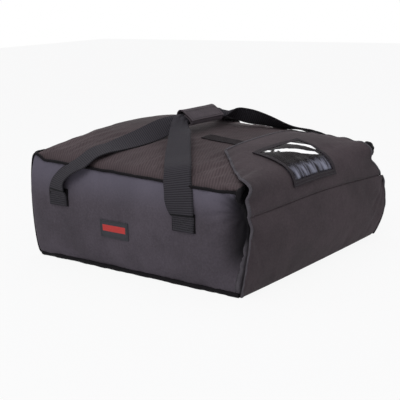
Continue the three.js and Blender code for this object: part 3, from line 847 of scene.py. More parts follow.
def open_box(counts, place):
    """Five panels that share their seams, open at the mouth."""
    across, along, up = counts
    index, vertices, shares, faces, panels = {}, [], [], [], []
    cell = ((0, 0), (1, 0), (1, 1), (0, 1))

    def vertex(i, j, k):
        if (i, j, k) not in index:
            index[i, j, k] = len(vertices)
            a, b, c = (crowd(2 * n / count - 1) for n, count in zip((i, j, k), counts))
            shares.append((a, b, (c + 1) / 2))
            vertices.append(place(a, b, (c + 1) / 2, (i, j, k)))
        return index[i, j, k]

    def panel(number, first, second, corner):
        for p in range(first):
            for q in range(second):
                faces.append([vertex(*corner(p + dp, q + dq)) for dp, dq in cell])
                panels.append(number)

    panel(BOTTOM_PANEL, across, along, lambda p, q: (p, q, 0))
    panel(LEFT_PANEL, along, up, lambda p, q: (0, p, q))
    panel(RIGHT_PANEL, along, up, lambda p, q: (across, p, q))
    panel(BACK_PANEL, across, up, lambda p, q: (p, along, q))
    panel(ROOF_PANEL, across, along, lambda p, q: (p, q, up))
    return np.array(vertices), faces, np.array(panels), np.array(shares)


# The two axes that a panel's weave runs along: the base, the sides, the back and the roof
PANEL_AXES = ((0, 1), (1, 2), (1, 2), (0, 2), (0, 1))


def panel_lay(vertices, faces, panels):
    """Each panel's weave runs along its own edges."""
    rows = [vertices[v][list(PANEL_AXES[panel])] for face, panel in zip(faces, panels) for v in face]
    return np.array(rows)


SHELL_COUNTS = (56, 60, 24)
# The upright back corners are full and round, with their seams a little way behind them
CORNER_START, CORNER_RADIUS, CORNER_SIDE, CORNER_BACK = 0.213, 0.013, 0.2560, 0.2695
CORNER_TURN = math.radians(80)
BACK_FULL, SIDE_TOP_REACH = 0.0035, 0.042


def full_corner(y):
    """A side panel's line where it runs round the back corner, at half height."""
    centre_x, centre_y = CORNER_SIDE - CORNER_RADIUS, CORNER_BACK - CORNER_RADIUS
    straight, bend = centre_y - CORNER_START, CORNER_RADIUS * CORNER_TURN
    run = (y - CORNER_START) / (SEAM_BACK - CORNER_START) * (straight + bend)
    if run < straight:
        return CORNER_SIDE, CORNER_START + run
    turn = (run - straight) / CORNER_RADIUS
    return centre_x + CORNER_RADIUS * math.cos(turn), centre_y + CORNER_RADIUS * math.sin(turn)


def fullness(share):
    """How full the walls are at a share of their height."""
    return np.clip(4 * share * (1 - share), 0, 1) ** 0.55


def shell_place(a, b, c, step):
    """Where a point of the shell lies, at shares across, along and up the box."""
    x, y = a * SEAM_X, mix(RIM_Y, SEAM_BACK, (b + 1) / 2)
    drop = float(seam_drop(x, y))
    top = roof_seam(x, y) - drop
    z = mix(SEAM_LOW, top, c)
    to_side, to_back = roll(SEAM_X - abs(x)), roll(SEAM_BACK - y)
    to_top, to_low = roll(top - z), roll(z - SEAM_LOW)
    i, j, k = step
    on_side, on_back = i in (0, SHELL_COUNTS[0]), j == SHELL_COUNTS[1]
    full = float(fullness(c))
    if on_side or on_back:
        seam_x, seam_y = full_corner(SEAM_BACK)
        if on_back:
            x = a * mix(SEAM_X, seam_x, full)
            out = to_side * to_top * to_low * (BACK_FULL + back_swell(x, z))
            y = y + full * (seam_y - SEAM_BACK) * abs(a) ** 6 + out
        if on_side:
            to_top = roll((top - z) * SEAM_REACH / SIDE_TOP_REACH)
            out = (0.0025 + side_face(y, z) + rim_pull(y, z) - SEAM_X) * to_back * to_top * to_low
            wide = SEAM_X + out - rim_pull(y, z)
            swollen = smooth(y, 0.05, CORNER_START) * full * to_top * to_low
            wide = mix(wide, CORNER_SIDE, swollen)
            if y > CORNER_START and not on_back:
                corner_x, corner_y = full_corner(y)
                wide, y = mix(SEAM_X + out, corner_x, full), mix(y, corner_y, full)
            if on_back:
                wide = abs(x)
            x = math.copysign(wide, a)
    if k == SHELL_COUNTS[2]:
        z = z + to_side * to_back * drop + crown_puff(x, y)
    if k == 0:
        z = z - to_side * to_back * (SEAM_LOW - 0.0006)
    return np.array([x, y, z])


def crown_ripples(places):
    """Long puckers that run in from the side seams, fading towards the middle and the tongue."""
    x, y = places[:, 0], places[:, 1]
    from_side = HALF_WIDTH - np.abs(x)
    wander = 0.008 * waves(places, (0.06, 0.06, 0.06), 2)
    slanted = np.stack([x, y + 0.25 * x + wander, 0 * x], 1)
    fine = waves(slanted, (0.075, 0.0115, 1), 3)
    broad = waves(slanted, (0.110, 0.034, 1), 4)
    fade = smooth(from_side, 0.001, 0.018) * (1 - 0.8 * smooth(from_side, 0.06, 0.19))
    front = mix(0.5, 1.0, smooth(-y, -0.04, 0.06))
    tiny = waves(slanted, (0.030, 0.0065, 1), 5)
    return fade * front * (0.0056 * fine + 0.0034 * broad + 0.0026 * tiny)


def side_ripples(places):
    """Shallow hollows on a side, and creases that spread from the upper front corner."""
    y, z = places[:, 1], places[:, 2]
    broad = waves(places, (0.2, 0.13, 0.09), 7)
    corner_y, corner_z = y - RIM_Y, z - 0.150
    turn = np.arctan2(corner_z, corner_y)
    rays = np.sin(turn * 13 + 2.5 * waves(places, (0.05,) * 3, 8))
    near = (1 - smooth(np.hypot(corner_y, corner_z), 0.012, 0.110)) * smooth(corner_y, 0.0, 0.014)
    flat = np.stack([0 * y, y, z], 1)
    upright = waves(flat, (1, 0.016, 0.12), 9)
    seams = np.exp(-np.minimum(z, roof_seam(HALF_WIDTH, y) - z) / 0.012)
    puckers = waves(flat, (1, 0.009, 0.05), 10)
    return 0.0016 * broad + 0.0022 * near * rays + 0.0003 * upright + 0.0011 * seams * puckers


def keep_seams(piece, faces, panels):
    """Holds the seams between panels as lines when the panels are rounded."""
    beside = {}
    for face, panel in zip(faces, panels):
        for a, b in zip(face, face[1:] + face[:1]):
            beside.setdefault((min(a, b), max(a, b)), set()).add(panel)
    sharp = [float(len(beside[tuple(sorted(edge.vertices))]) > 1) for edge in piece.data.edges]
    piece.data.attributes.new("crease_edge", "FLOAT", "EDGE").data.foreach_set("value", sharp)


def make_outer_shell():
    """The padded shell: its form, its swell, the ripples of its cloth, then its thickness."""
    vertices, faces, panels, shares = open_box(SHELL_COUNTS, shell_place)
    lay = panel_lay(vertices, faces, panels)
    cloths, roof = [side_cloth, roof_cloth], (panels == ROOF_PANEL).astype(int)
    shell = as_piece("outer_shell", vertices, faces, cloths, lay, roof, 60)
    face_out(shell)
    keep_seams(shell, faces, panels)
    # The seams, the base and the mouth are held, and the roof swells least under the tongue
    (a, b, c), near_end = shares.T, 0.999
    on_roof, on_base = c > near_end, c < 1 - near_end
    seams = (np.abs(a) > near_end).astype(int) + (b > near_end) + on_roof + on_base
    held = np.where((seams > 1) | on_base | (b < -near_end), 1.0, 0.0)
    covered = np.where(on_roof, smooth(-vertices[:, 1], 0.03, 0.12), 0.0)
    cap = np.where(on_roof, mix(0.0016, 0.0010, covered), 0.0040)
    billow(shell, held, 1.4, cap, slack=0.012)
    subdivide(shell)
    places, normals = points_of(shell), points_of(shell, "normal")
    # A point belongs to the panel that it faces
    x, y, _ = places.T
    on_top = smooth(normals[:, 2], 0.45, 0.75)
    on_side = smooth(np.abs(normals[:, 0]), 0.6, 0.85)
    on_back = smooth(normals[:, 1], 0.6, 0.85)
    under_tongue = 1 - 0.8 * smooth(-y, 0.10, 0.16) * (1 - smooth(np.abs(x) + y, -0.03, 0.02))
    shift = on_top * crown_ripples(places) * under_tongue
    shift = shift + on_side * side_ripples(places)
    shift = shift + on_back * 0.002 * waves(places, (0.11, 0.2, 0.07), 12)
    places = places + normals * shift[:, None]
    places[:, 2] = np.maximum(places[:, 2], SHELL_FLOOR)
    put_points(shell, places)
    polygons = [tuple(polygon.vertices) for polygon in shell.data.polygons]
    skin.tree = BVHTree.FromPolygons(places.tolist(), polygons)
    thicken(shell, WALL_THICK, -1)
    on("bag", shell, *(f"{layer}_{panel}" for layer in ("outer", "insulation") for panel in PANELS))


LINING_COUNTS = (36, 40, 16)


def lining_place(a, b, c, step):
    """Where a point of the lining lies, which follows the shell's swells."""
    x, y = a * LINING_X, mix(RIM_Y, LINING_BACK, (b + 1) / 2)
    z = mix(LINING_GAP, roof_seam(x, y) - LINING_GAP, c)
    i, j, k = step
    shift = np.zeros(3)
    if i in (0, LINING_COUNTS[0]):
        shift[0] = math.copysign(1, a) * (side_swell(y, z) - rim_pull(y, z))
    if j == LINING_COUNTS[1]:
        shift[1] = back_swell(x, z)
    if k == LINING_COUNTS[2]:
        shift[2] = 0.4 * crown_puff(x, y)
    return np.array([x, y, z]) + shift


def make_lining():
    vertices, faces, panels, _ = open_box(LINING_COUNTS, lining_place)
    lay = panel_lay(vertices, faces, panels)
    lining = as_piece("lining_shell", vertices, faces, inner_cloth, lay, edge=60)
    face_out(lining)
    places, normals = points_of(lining), points_of(lining, "normal")
    loose = waves(places, (0.05, 0.09, 0.04), 21) + 0.5 * waves(places, (0.02, 0.035, 0.02), 22)
    loose = loose * smooth(places[:, 1] - RIM_Y, 0.0, 0.03)
    put_points(lining, places - normals * (0.0006 + 0.0011 * np.abs(loose))[:, None])
    thicken(lining, LINING_THICK, 0)
    on("bag", lining, *(f"lining_{panel}" for panel in PANELS))


# Piping and mouth

def top_piping(x, y):
    return roof_seam(x, y) - float(seam_drop(x, y)) + 0.0008


def bottom_piping(x, y):
    return 0.0052


# Cord round the top and the base: its height, seed, half width and height, and how far it wanders
PIPING = (
    ("piping_top", top_piping, 31, (0.0028, 0.0028), (0.0011, 0.0011, 0.0014)),
    ("piping_bottom", bottom_piping, 32, (0.0036, 0.0046), (0.0022, 0.0022, 0.0008)),
)
PIPING_SIDE, PIPING_BACK, PIPING_CORNER = 0.0028, 0.0024, 0.0015


def piping_ring(height):
    """The seam's line from the left end of the mouth round the back to its right end."""
    side_y = np.linspace(RIM_Y - 0.001, SEAM_BACK - 0.004, 60)
    back_x = np.linspace(-SEAM_X + 0.004, SEAM_X - 0.004, 60)
    left = []
    for y in side_y:
        z = height(-SEAM_X, y)
        left.append((-SEAM_X - PIPING_SIDE + rim_pull(y, z), y, z))
    back = [(x, SEAM_BACK + PIPING_BACK, height(x, SEAM_BACK)) for x in back_x]
    right = [(-x, y, z) for x, y, z in left]
    return np.array(left + back + right[::-1])


def make_piping():
    """Cord piping round the top and the base, and up the two back corners."""
    for name, height, seed, size, wander in PIPING:
        centres = spaced(route(piping_ring(height), 400), 0.004)
        drift = np.stack([waves(centres, (0.03,) * 3, seed + k) for k in range(3)], 1)
        centres = centres + drift * wander
        width = 1 + 0.16 * waves(centres, (0.008,) * 3, seed + 5)
        section = circle(1)[None] * width[:, None, None] * np.array(size)
        on("bag", cord(f"{name}_cord", centres, UP, section), name)
    height = np.linspace(0, 1, 60)
    seam_x, seam_y = full_corner(SEAM_BACK)
    across = mix(SEAM_X + PIPING_CORNER, seam_x, fullness(height))
    depth = mix(SEAM_BACK + PIPING_CORNER, seam_y + 0.0012, fullness(height))
    z = mix(0.005, float(roof_seam(HALF_WIDTH, HALF_DEPTH)) - 0.003, height)
    for side_name, side in SIDES:
        name = f"piping_back_{side_name}"
        centres = np.stack([side * across, depth, z], 1)
        out = alike((side * 0.7071, 0.7071, 0.0), centres)
        along = unit(np.gradient(centres, axis=0))
        lifted = unit(np.cross(along, out))
        on("bag", swept(f"{name}_cord", centres, out, lifted, circle(0.0025), dark_tape), name)


def mouth_line():
    """The middle of the wall's edge round the mouth, with the ways in and out of the bag."""
    inset, low, turn = 0.0052, 0.0084, 0.010
    high, side = MOUTH_HEIGHT - inset, HALF_WIDTH - inset
    corners = [(-1, -1), (-1, 1), (1, 1), (1, -1)]
    points = []
    for n, (sx, sz) in enumerate(corners):
        centre = np.array([sx * (side - turn), (high if sz > 0 else low) - sz * turn])
        for share in np.linspace(0, 1, 7):
            angle = math.radians(270 - 90 * n - 90 * share)
            way = np.array([math.cos(angle), math.sin(angle)])
            points.append((*(centre + turn * way), *way))
    points.append(points[0])
    points = np.array(points)
    steps = []
    for near, far in zip(points[:-1], points[1:]):
        length = np.linalg.norm(far[:2] - near[:2])
        count = max(1, round(length / 0.006))
        steps.extend(mix(near, far, k / count) for k in range(count))
    steps.append(points[-1])
    return np.array(steps)


# Rolls of crumpled binding at the mouth's top corners: their lines and radii
MOUTH_ROLLS = (
    ("mouth_roll_left", [
        (-0.224, -0.2490, 0.1930), (-0.236, -0.2510, 0.1925), (-0.2445, -0.2520, 0.1865),
        (-0.2455, -0.2530, 0.1780), (-0.2390, -0.2540, 0.1700),
    ], 0.0058),
    ("mouth_roll_right", [
        (0.212, -0.2480, 0.1985), (0.226, -0.2500, 0.1990), (0.2365, -0.2510, 0.1935),
        (0.2375, -0.2510, 0.1835), (0.2300, -0.2510, 0.1745),
    ], 0.0092),
)


def make_mouth_binding():
    """The tape round the mouth's edge, crumpled and rolled up where it turns at the top."""
    x, z, out_x, out_z = mouth_line().T
    y = np.full(len(x), RIM_Y - 0.0008)
    x = x - np.sign(x) * rim_pull(y, z) * smooth(np.abs(out_x), 0.2, 0.9)
    z = z - (seam_drop(x, y) - SEAM_DROP) * smooth(z, 0.140, 0.190)
    crush = waves(np.stack([x, y, z], 1), (0.018,) * 3, 41)
    top_corner = smooth(z, 0.165, 0.190) * smooth(np.abs(x), 0.200, 0.235)
    push = crush * (0.0014 + 0.0035 * top_corner)
    x, z = x + out_x * push, np.maximum(z + out_z * push, 0.0083)
    y = y + 0.0012 * waves(np.stack([x, y, z], 1), (0.022,) * 3, 42) - 0.001 * top_corner
    edge = np.stack([x, y, z], 1), alike(INWARD, x), np.stack([out_x, 0 * x, out_z], 1)
    tape = bound_edge("mouth_edge_tape", edge, 0.0095, 0.0204, mouth_tape, 0.0006, 43, closed=True)
    on("bag", tape, "mouth_binding")
    on("bag", edge_stitches("mouth_binding_stitches", edge, 0.0075, 0.0109))
    steps, sides = 30, 14
    ring = 2 * circle(1, sides)
    lumps = np.array([[noise.noise((n * 0.33, *point)) for point in ring] for n in range(steps)])
    bulge = 0.45 + 0.55 * np.sin(np.linspace(0.3, 2.8, steps))
    for name, points, radius in MOUTH_ROLLS:
        section = circle(radius, sides)[None] * (bulge[:, None] * (1 + 0.28 * lumps))[..., None]
        on("bag", cord(name, route(points, steps), FORWARD, section))


# Flap, fold and tongue

FOOT_Z = 0.0016
seam_height = through(
    [-0.250, -0.120, -0.020, 0.104, 0.226, 0.250], [0.1490, 0.1500, 0.1505, 0.1450, 0.1365, 0.1350]
)
# The flap's front line at its sides and in its middle, up from its foot
edge_front = through(
    [FOOT_Z, 0.037, 0.080, 0.110, 0.128, 0.150], [-0.2575, -0.2660, -0.2745, -0.2790, -0.2795, -0.2755]
)
middle_front = through(
    [FOOT_Z, 0.037, 0.080, 0.110, 0.128, 0.150], [-0.2600, -0.2705, -0.2815, -0.2835, -0.2820, -0.2775]
)


def side_front(side, z):
    """The flap's front line at its left or right edge. The right edge stands out more."""
    fill = 0.004 * swell(z / 0.075 - 1) + 0.008 * swell(z / 0.054 - 1)
    return edge_front(z) - fill * (side > 0)


def pad_front(u, z):
    """The flap's front, from its middle line to its lines at the two edges."""
    return mix(middle_front(z), side_front(u, z), np.abs(u) ** 3)


PINCH_Z, PINCH_HEIGHT, PINCH_DEPTH = 0.128, 0.009, 0.004
SLANT_START, SLANT_END, SLANT_DEPTH = 0.118, 0.140, 0.006
# Creases run down and inwards from the pinch at each side, each with its slope and depth
CREASE_Z, CREASE_WIDTH, CREASES = 0.127, 0.0045, ((0.95, 0.0026), (0.45, 0.0016), (1.9, 0.0018))


def flap_half(side, z):
    """The flap is pinched in just under the cross seam, and slants in at its upper right."""
    pinch = PINCH_DEPTH * np.exp(-((z - PINCH_Z) / PINCH_HEIGHT) ** 2)
    slant = SLANT_DEPTH * smooth(z, SLANT_START, SLANT_END)
    return FLAP_HALF - np.where(np.asarray(side) > 0, slant, pinch)


def pad_grid(rows, columns, front):
    """The front of the flap's pad, or its back against the mouth, as a grid of points."""
    u = crowd(np.linspace(-1, 1, rows))[:, None]
    h = np.linspace(0, 1, columns)[None, :]
    z = mix(FOOT_Z, seam_height(u * FLAP_HALF), h)
    x = u * flap_half(u, z)
    outer = pad_front(u, z)
    if front:
        return np.stack([x, outer + 0 * x, z + 0 * x], -1)
    flat = -0.2535 - 0.004 * h
    inner = mix(flat, outer + 0.0045, np.abs(u) ** 6)
    return np.stack([x, inner + 0 * x, z + 0 * x], -1)


def make_flap_pad():
    """The flap's padded lower panel, with outer cloth in front and lining behind."""
    rows, columns = 84, 36
    front, rear = pad_grid(rows, columns, True), pad_grid(rows, columns, False)
    # The front rolls in towards the seams at its foot and its head
    h = np.linspace(0, 1, columns)[None, :]
    front[..., 1] += 0.0035 * (1 - roll(h * 0.140)) + 0.0014 * (1 - roll((1 - h) * 0.140))
    vertices = np.concatenate([front.reshape(-1, 3), rear.reshape(-1, 3)])
    at = lambda layer, i, j: (layer * rows + i) * columns + j
    faces, which = [], []
    for i in range(rows - 1):
        for j in range(columns - 1):
            ring = [(i, j), (i + 1, j), (i + 1, j + 1), (i, j + 1)]
            faces += [[at(0, *c) for c in ring], [at(1, *c) for c in ring[::-1]]]
            which += [0, 1]
    border = round_grid(0, 0, rows - 1, columns - 1)
    for a, b in zip(border[:-1], border[1:]):
        faces.append([at(0, *a), at(1, *a), at(1, *b), at(0, *b)])
        which.append(0)
    lay = vertices[:, [0, 2]]
    pad = as_piece("flap_pad", vertices, faces, [flap_cloth, inner_cloth], lay, which, 60)
    face_out(pad)
    i, j = np.divmod(np.arange(rows * columns), columns)
    rim = (i == 0) | (i == rows - 1) | (j == 0) | (j == columns - 1)
    held = np.concatenate([np.where(rim, 1.0, 0.0), np.ones(rows * columns)])
    billow(pad, held, 1.0, 0.0018, slack=0.001, bending=6.0)
    places, normals = points_of(pad), points_of(pad, "normal")
    x, _, z = places.T
    facing = smooth(-normals[:, 1], 0.4, 0.8)
    flat = np.stack([x, 0 * x, z], 1)
    upright = waves(flat, (0.020, 1, 0.16), 51)
    broad = waves(flat, (0.090, 1, 0.070), 52)
    seam = np.exp(-np.maximum(seam_height(x) - z, 0) / 0.014)
    puckers = waves(flat, (0.011, 1, 0.05), 53)
    crease = 0
    for _, side in SIDES:
        dx, dz = side * (side * FLAP_HALF - x), CREASE_Z - z
        for slope, depth in CREASES:
            off = (dz - slope * dx) / math.hypot(1, slope)
            line = np.exp(-(off / CREASE_WIDTH) ** 2) * (1 - smooth(dx, 0.010, 0.075))
            crease = crease - depth * line
    shift = facing * (0.00015 * upright + 0.0012 * broad + 0.0005 * seam * puckers + crease)
    put_points(pad, places + normals * shift[:, None])
    subdivide(pad)
    on("flap", pad, "flap_outer", "flap_insulation", "flap_lining")


def flap_edge(side):
    """Points up one side edge of the flap's pad, with the ways in and out."""
    z = np.linspace(FOOT_Z + 0.001, float(seam_height(side * FLAP_HALF)), 50)
    x = side * flap_half(side, z)
    centres = np.stack([x, side_front(side, z) + 0.0018, z], 1)
    return centres, alike((-side, 0, 0), centres), alike(FORWARD, centres)


def make_flap_bindings():
    for name, side in SIDES:
        edge = flap_edge(side)
        tape = bound_edge(f"flap_edge_tape_{name}", edge, 0.0036, 0.0034, pale_tape, 0.0009, 61)
        on("flap", tape, f"flap_binding_{name}")
        on("flap", edge_stitches(f"flap_binding_stitches_{name}", edge, 0.0038, 0.0020))


def make_base_lip():
    """The base's cloth goes on under the flap's foot, where the flap is sewn to it."""
    u = np.linspace(-1, 1, 60)[:, None]
    share = np.linspace(0, 1, 6)[None, :]
    y = mix(RIM_Y + 0.003, pad_front(u, FOOT_Z) + 0.0046, share)
    grid = np.stack([u * 0.2440 + 0 * y, y, 0.0013 + 0 * y], -1)
    on("bag", cloth("base_front_lip", grid, 0.0008, inner_cloth))


# The upper cloth in steps from the cross seam to just behind the fold: its line in the middle and
# at its edges (y, and z over the seam), and how far it reaches to the left and to the right.
# From there the tongue narrows along the roof.
UPPER_BASE = 0.149
UPPER_MIDDLE = np.array([
    (-0.2738, 0.0000), (-0.2756, 0.0080), (-0.2745, 0.0165), (-0.2718, 0.0285), (-0.2680, 0.0392),
    (-0.2612, 0.0495), (-0.2510, 0.0583), (-0.2385, 0.0645),
])
UPPER_EDGE = np.array([
    (-0.2718, 0.0000), (-0.2738, 0.0080), (-0.2716, 0.0170), (-0.2706, 0.0285), (-0.2735, 0.0400),
    (-0.2722, 0.0500), (-0.2650, 0.0572), (-0.2550, 0.0596),
])
UPPER_LEFT = np.array([0.2495, 0.2500, 0.2500, 0.2500, 0.2475, 0.2425, 0.2400, 0.2386])
UPPER_RIGHT = np.array([0.2440, 0.2370, 0.2210, 0.2040, 0.1985, 0.1970, 0.1970, 0.1970])
tongue_left = through([-0.2550, -0.203, -0.149, -0.130], [0.2386, 0.190, 0.136, 0.117])
tongue_right = through([-0.2550, -0.235, -0.203, -0.149, -0.130], [0.197, 0.197, 0.188, 0.136, 0.117])


def tongue_line(u, x=None, count=84):
    """One line from the cross seam over the fold to the tongue's end, at a share across.

    A set x keeps the line at that distance from the middle plane.
    """
    bend = abs(u) ** 3
    front = mix(UPPER_MIDDLE, UPPER_EDGE, bend)
    reach, plan = (UPPER_LEFT, tongue_left) if u < 0 else (UPPER_RIGHT, tongue_right)
    front_x = u * reach if x is None else np.full(len(reach), x)
    # The first steps follow the slanting cross seam
    drop = seam_height(front_x) - UPPER_BASE
    z = UPPER_BASE + front[:, 1] + drop * (1 - smooth(np.arange(len(front)), 0, 4))
    back_y = mix(front[-1, 0], TONGUE_END, np.linspace(0, 1, 12)[1:] ** 0.9)
    back_x = u * plan(back_y) if x is None else np.full(len(back_y), x)
    lift = TONGUE_LIFT - 0.0014 * abs(u) ** 4 + 0.0046 * (1 - smooth(back_y, -0.254, -0.186))
    back_z = crown(back_x, back_y) + lift
    points = [np.append(front_x, back_x), np.append(front[:, 0], back_y), np.append(z, back_z)]
    return route(np.stack(points, 1), count)


def tongue_wrinkles(grid, us):
    """Soft hollows, and a slight flutter of the side edges."""
    count = grid.shape[1]
    steps = np.linspace(0, 1, count)[None, :]
    u = us[:, None]
    flat = np.stack([grid[..., 0], 0 * grid[..., 0], steps * 0.2 + 0 * u], -1)
    broad = waves(flat, (0.075, 1, 0.040), 71)
    fine = waves(flat, (0.022, 1, 0.050), 72)
    flutter = np.abs(u) ** 8 * np.sin(steps * 46 + 2 * u) * smooth(steps, 0.02, 0.1)
    under_window = 1 - 0.7 * np.exp(-((grid[..., 0] + 0.01) / 0.09) ** 4)
    ends = smooth(steps, 0.0, 0.05)
    return ends * (0.0013 * broad * under_window + 0.0005 * fine * under_window + 0.0012 * flutter)


def make_tongue():
    us = crowd(np.linspace(-1, 1, 72))
    grid = np.array([tongue_line(u) for u in us])
    normals = upward_normals(grid)
    grid = grid + normals * tongue_wrinkles(grid, us)[..., None]
    turn = turn_to(grid, (36, 60), normals[36, 60])
    piece = cloth("closing_tongue", grid, TONGUE_THICK, flap_cloth, turn=turn)
    over_fold(piece, "flap_upper", "tongue")
    return grid, normals


def edge_of_tongue(grid, normals):
    """Up the left edge, across the end and down the right edge, with the ways in and out."""
    left = (grid[0], grid[2] - grid[0], normals[0])
    right = (grid[-1][::-1], (grid[-3] - grid[-1])[::-1], normals[-1][::-1])
    end = (grid[1:-1, -1], grid[1:-1, -3] - grid[1:-1, -1], normals[1:-1, -1])
    points, inwards, outwards = (np.concatenate(parts) for parts in zip(left, end, right))
    return points + outwards * TONGUE_THICK / 2, unit(inwards), outwards


def make_tongue_binding(grid, normals):
    edge = edge_of_tongue(grid, normals)
    tape = bound_edge("tongue_edge_tape", edge, 0.0062, 0.0038, pale_tape, 0.0006, 81)
    over_fold(tape, "tongue_binding")
    over_fold(edge_stitches("tongue_binding_stitches", edge, 0.0050, 0.0021))


def make_cross_seam(grid, normals):
    """The lap seam where the thin upper cloth is sewn to the pad, with one row of stitches."""
    outside = (grid + normals * (TONGUE_THICK + 0.0002))[2:-2]
    row = mix(outside[:, 1], outside[:, 2], 0.6)
    over_fold(stitches("cross_seam_stitches", row, normals[2:-2, 1]))


# Hook and loop

STRIP_X, STRIP_HALF = 0.052, 0.015
LOOP_START, LOOP_ENDS = -0.200, {"left": -0.036, "right": -0.137}
HOOK_START, HOOK_END = -0.198, -0.138


def strip_grid(side, start, end, lift):
    """A strip along the roof, at one side of its middle."""
    x = np.linspace(side * STRIP_X - STRIP_HALF, side * STRIP_X + STRIP_HALF, 10)[:, None]
    y = np.linspace(start, end, max(12, round((end - start) / 0.0038)))[None, :]
    return np.stack([x + 0 * y, y + 0 * x, skin.top(x, y) + lift], -1)


def make_strips():
    for name, side in SIDES:
        loop = strip_grid(side, LOOP_START, LOOP_ENDS[name], 0.0008)
        on("bag", cloth(f"loop_tape_{name}", loop, 0.0014, loop_tape), f"loop_strip_{name}")
        lengthwise = loop.swapaxes(0, 1)
        border = lengthwise[round_index(lengthwise, 0, 0)]
        centre = loop.reshape(-1, 3).mean(0)
        row = border + unit(centre - border) * 0.002 + (0, 0, 0.0016)
        on("bag", stitches(f"loop_tape_stitches_{name}", row, UP))
        hook = strip_grid(side, HOOK_START, HOOK_END, 0.0026)
        on("tongue", cloth(f"hook_tape_{name}", hook, 0.0012, hook_tape), f"hook_strip_{name}")


# Ticket window

# Half the tongue's width near the window
TONGUE_HALF = 0.215


def window_lines(xs, count, lift):
    """Lines over the outside of the tongue's cloth, from the window's foot to its rear edge."""
    lines = []
    for x in xs:
        fine = tongue_line(x / TONGUE_HALF, x, 200)
        at = WINDOW["start"] + np.linspace(0, WINDOW["length"], count)
        lines.append(np.stack([np.interp(at, run_of(fine), column) for column in fine.T], 1))
    grid = np.array(lines)
    normals = upward_normals(grid)
    return grid + normals * (TONGUE_THICK + lift), normals


def make_window():
    """The clear film, its bound frame and the frame's two rows of stitches."""
    xs = np.linspace(WINDOW["left"], WINDOW["right"], 50)
    count = 44
    grid, normals = window_lines(xs, count, 0.0008)
    a = np.linspace(-1, 1, len(xs))[:, None]
    b = np.linspace(-1, 1, count)[None, :]
    inside = (1 - a ** 4) * (1 - b ** 4)
    flat = np.stack([a * 0.076 + 0 * b, b * 0.056 + 0 * a, 0 * a * b], -1)
    buckle = waves(flat, (0.030, 0.055, 1), 91) + 0.5 * waves(flat, (0.014, 0.030, 1), 92)
    film_grid = grid + normals * (0.0007 + inside * (0.0009 + 0.0009 * buckle))[..., None]
    turn = turn_to(grid, (25, 20), normals[25, 20])
    film = cloth("window_vinyl", film_grid, 0.0004, vinyl, turn=turn)
    over_fold(film, "window_film")
    last_i, last_j = len(xs) - 1, count - 1
    edge_i = round(WINDOW["border"] / (xs[1] - xs[0]))
    edge_j = round(WINDOW["border"] / (WINDOW["length"] / last_j))

    def in_frame(i, j):
        return not (edge_i <= i < last_i - edge_i and edge_j <= j < last_j - edge_j)

    border = cloth("window_border", grid, 0.0014, frame_tape, lift=0.0009, turn=turn, kept=in_frame)
    over_fold(border, "window_frame")
    for name, i, j in (("outer", 1, 1), ("inner", edge_i - 1, edge_j - 1)):
        walk = round_index(grid, i, j)
        row = grid[walk] + normals[walk] * 0.0024
        over_fold(stitches(f"window_stitches_{name}", row, normals[walk]))


# Label

LABEL_Y, LABEL_Z = (0.066, -0.006), (0.070, 0.104)


def side_grid(side, y_ends, z_ends, count, lift):
    """A grid of points over a side's cloth, 14 of them in height."""
    y = np.linspace(*y_ends, count)[:, None]
    z = np.linspace(*z_ends, 14)[None, :]
    return np.stack([side * (skin.side(side, y, z) + lift), y + 0 * z, z + 0 * y], -1)


def make_label():
    left, grid = (-1, 0, 0), side_grid(-1, LABEL_Y, LABEL_Z, 26, 0.0006)
    turn = turn_to(grid, (13, 7), left)
    on("bag", cloth("woven_label_patch", grid, 0.0013, label_cloth, turn=turn), "label_patch")
    row = grid[round_index(grid, 1, 1)] + (-0.0016, 0, 0)
    on("bag", stitches("label_stitches", row, left, 0.0032, 0.0023, 0.0003))


# Handles and grip

GRIP_TILT = math.radians(35)
GRIP_LENGTH, GRIP_LIFT, GRIP_LAYER = 0.106, 0.031, 0.0016
GRIP_PLACE = np.array([-0.005, 0.012, float(crown(-0.005, 0.012)) + GRIP_LIFT])
GRIP_OUT = np.array([0.0, -math.sin(GRIP_TILT), math.cos(GRIP_TILT)])
GRIP_ACROSS = np.array([0.0, math.cos(GRIP_TILT), math.sin(GRIP_TILT)])
STRAP_HALF, STRAP_THICK, STRAP_EDGE = 0.025, 0.0021, 0.224
PATCH_HALF, PATCH_LOW, PATCH_HIGH = 0.0256, -0.001, 0.034
SEWN_HALF, SEWN_LOW, SEWN_HIGH = 0.0185, 0.004, 0.030

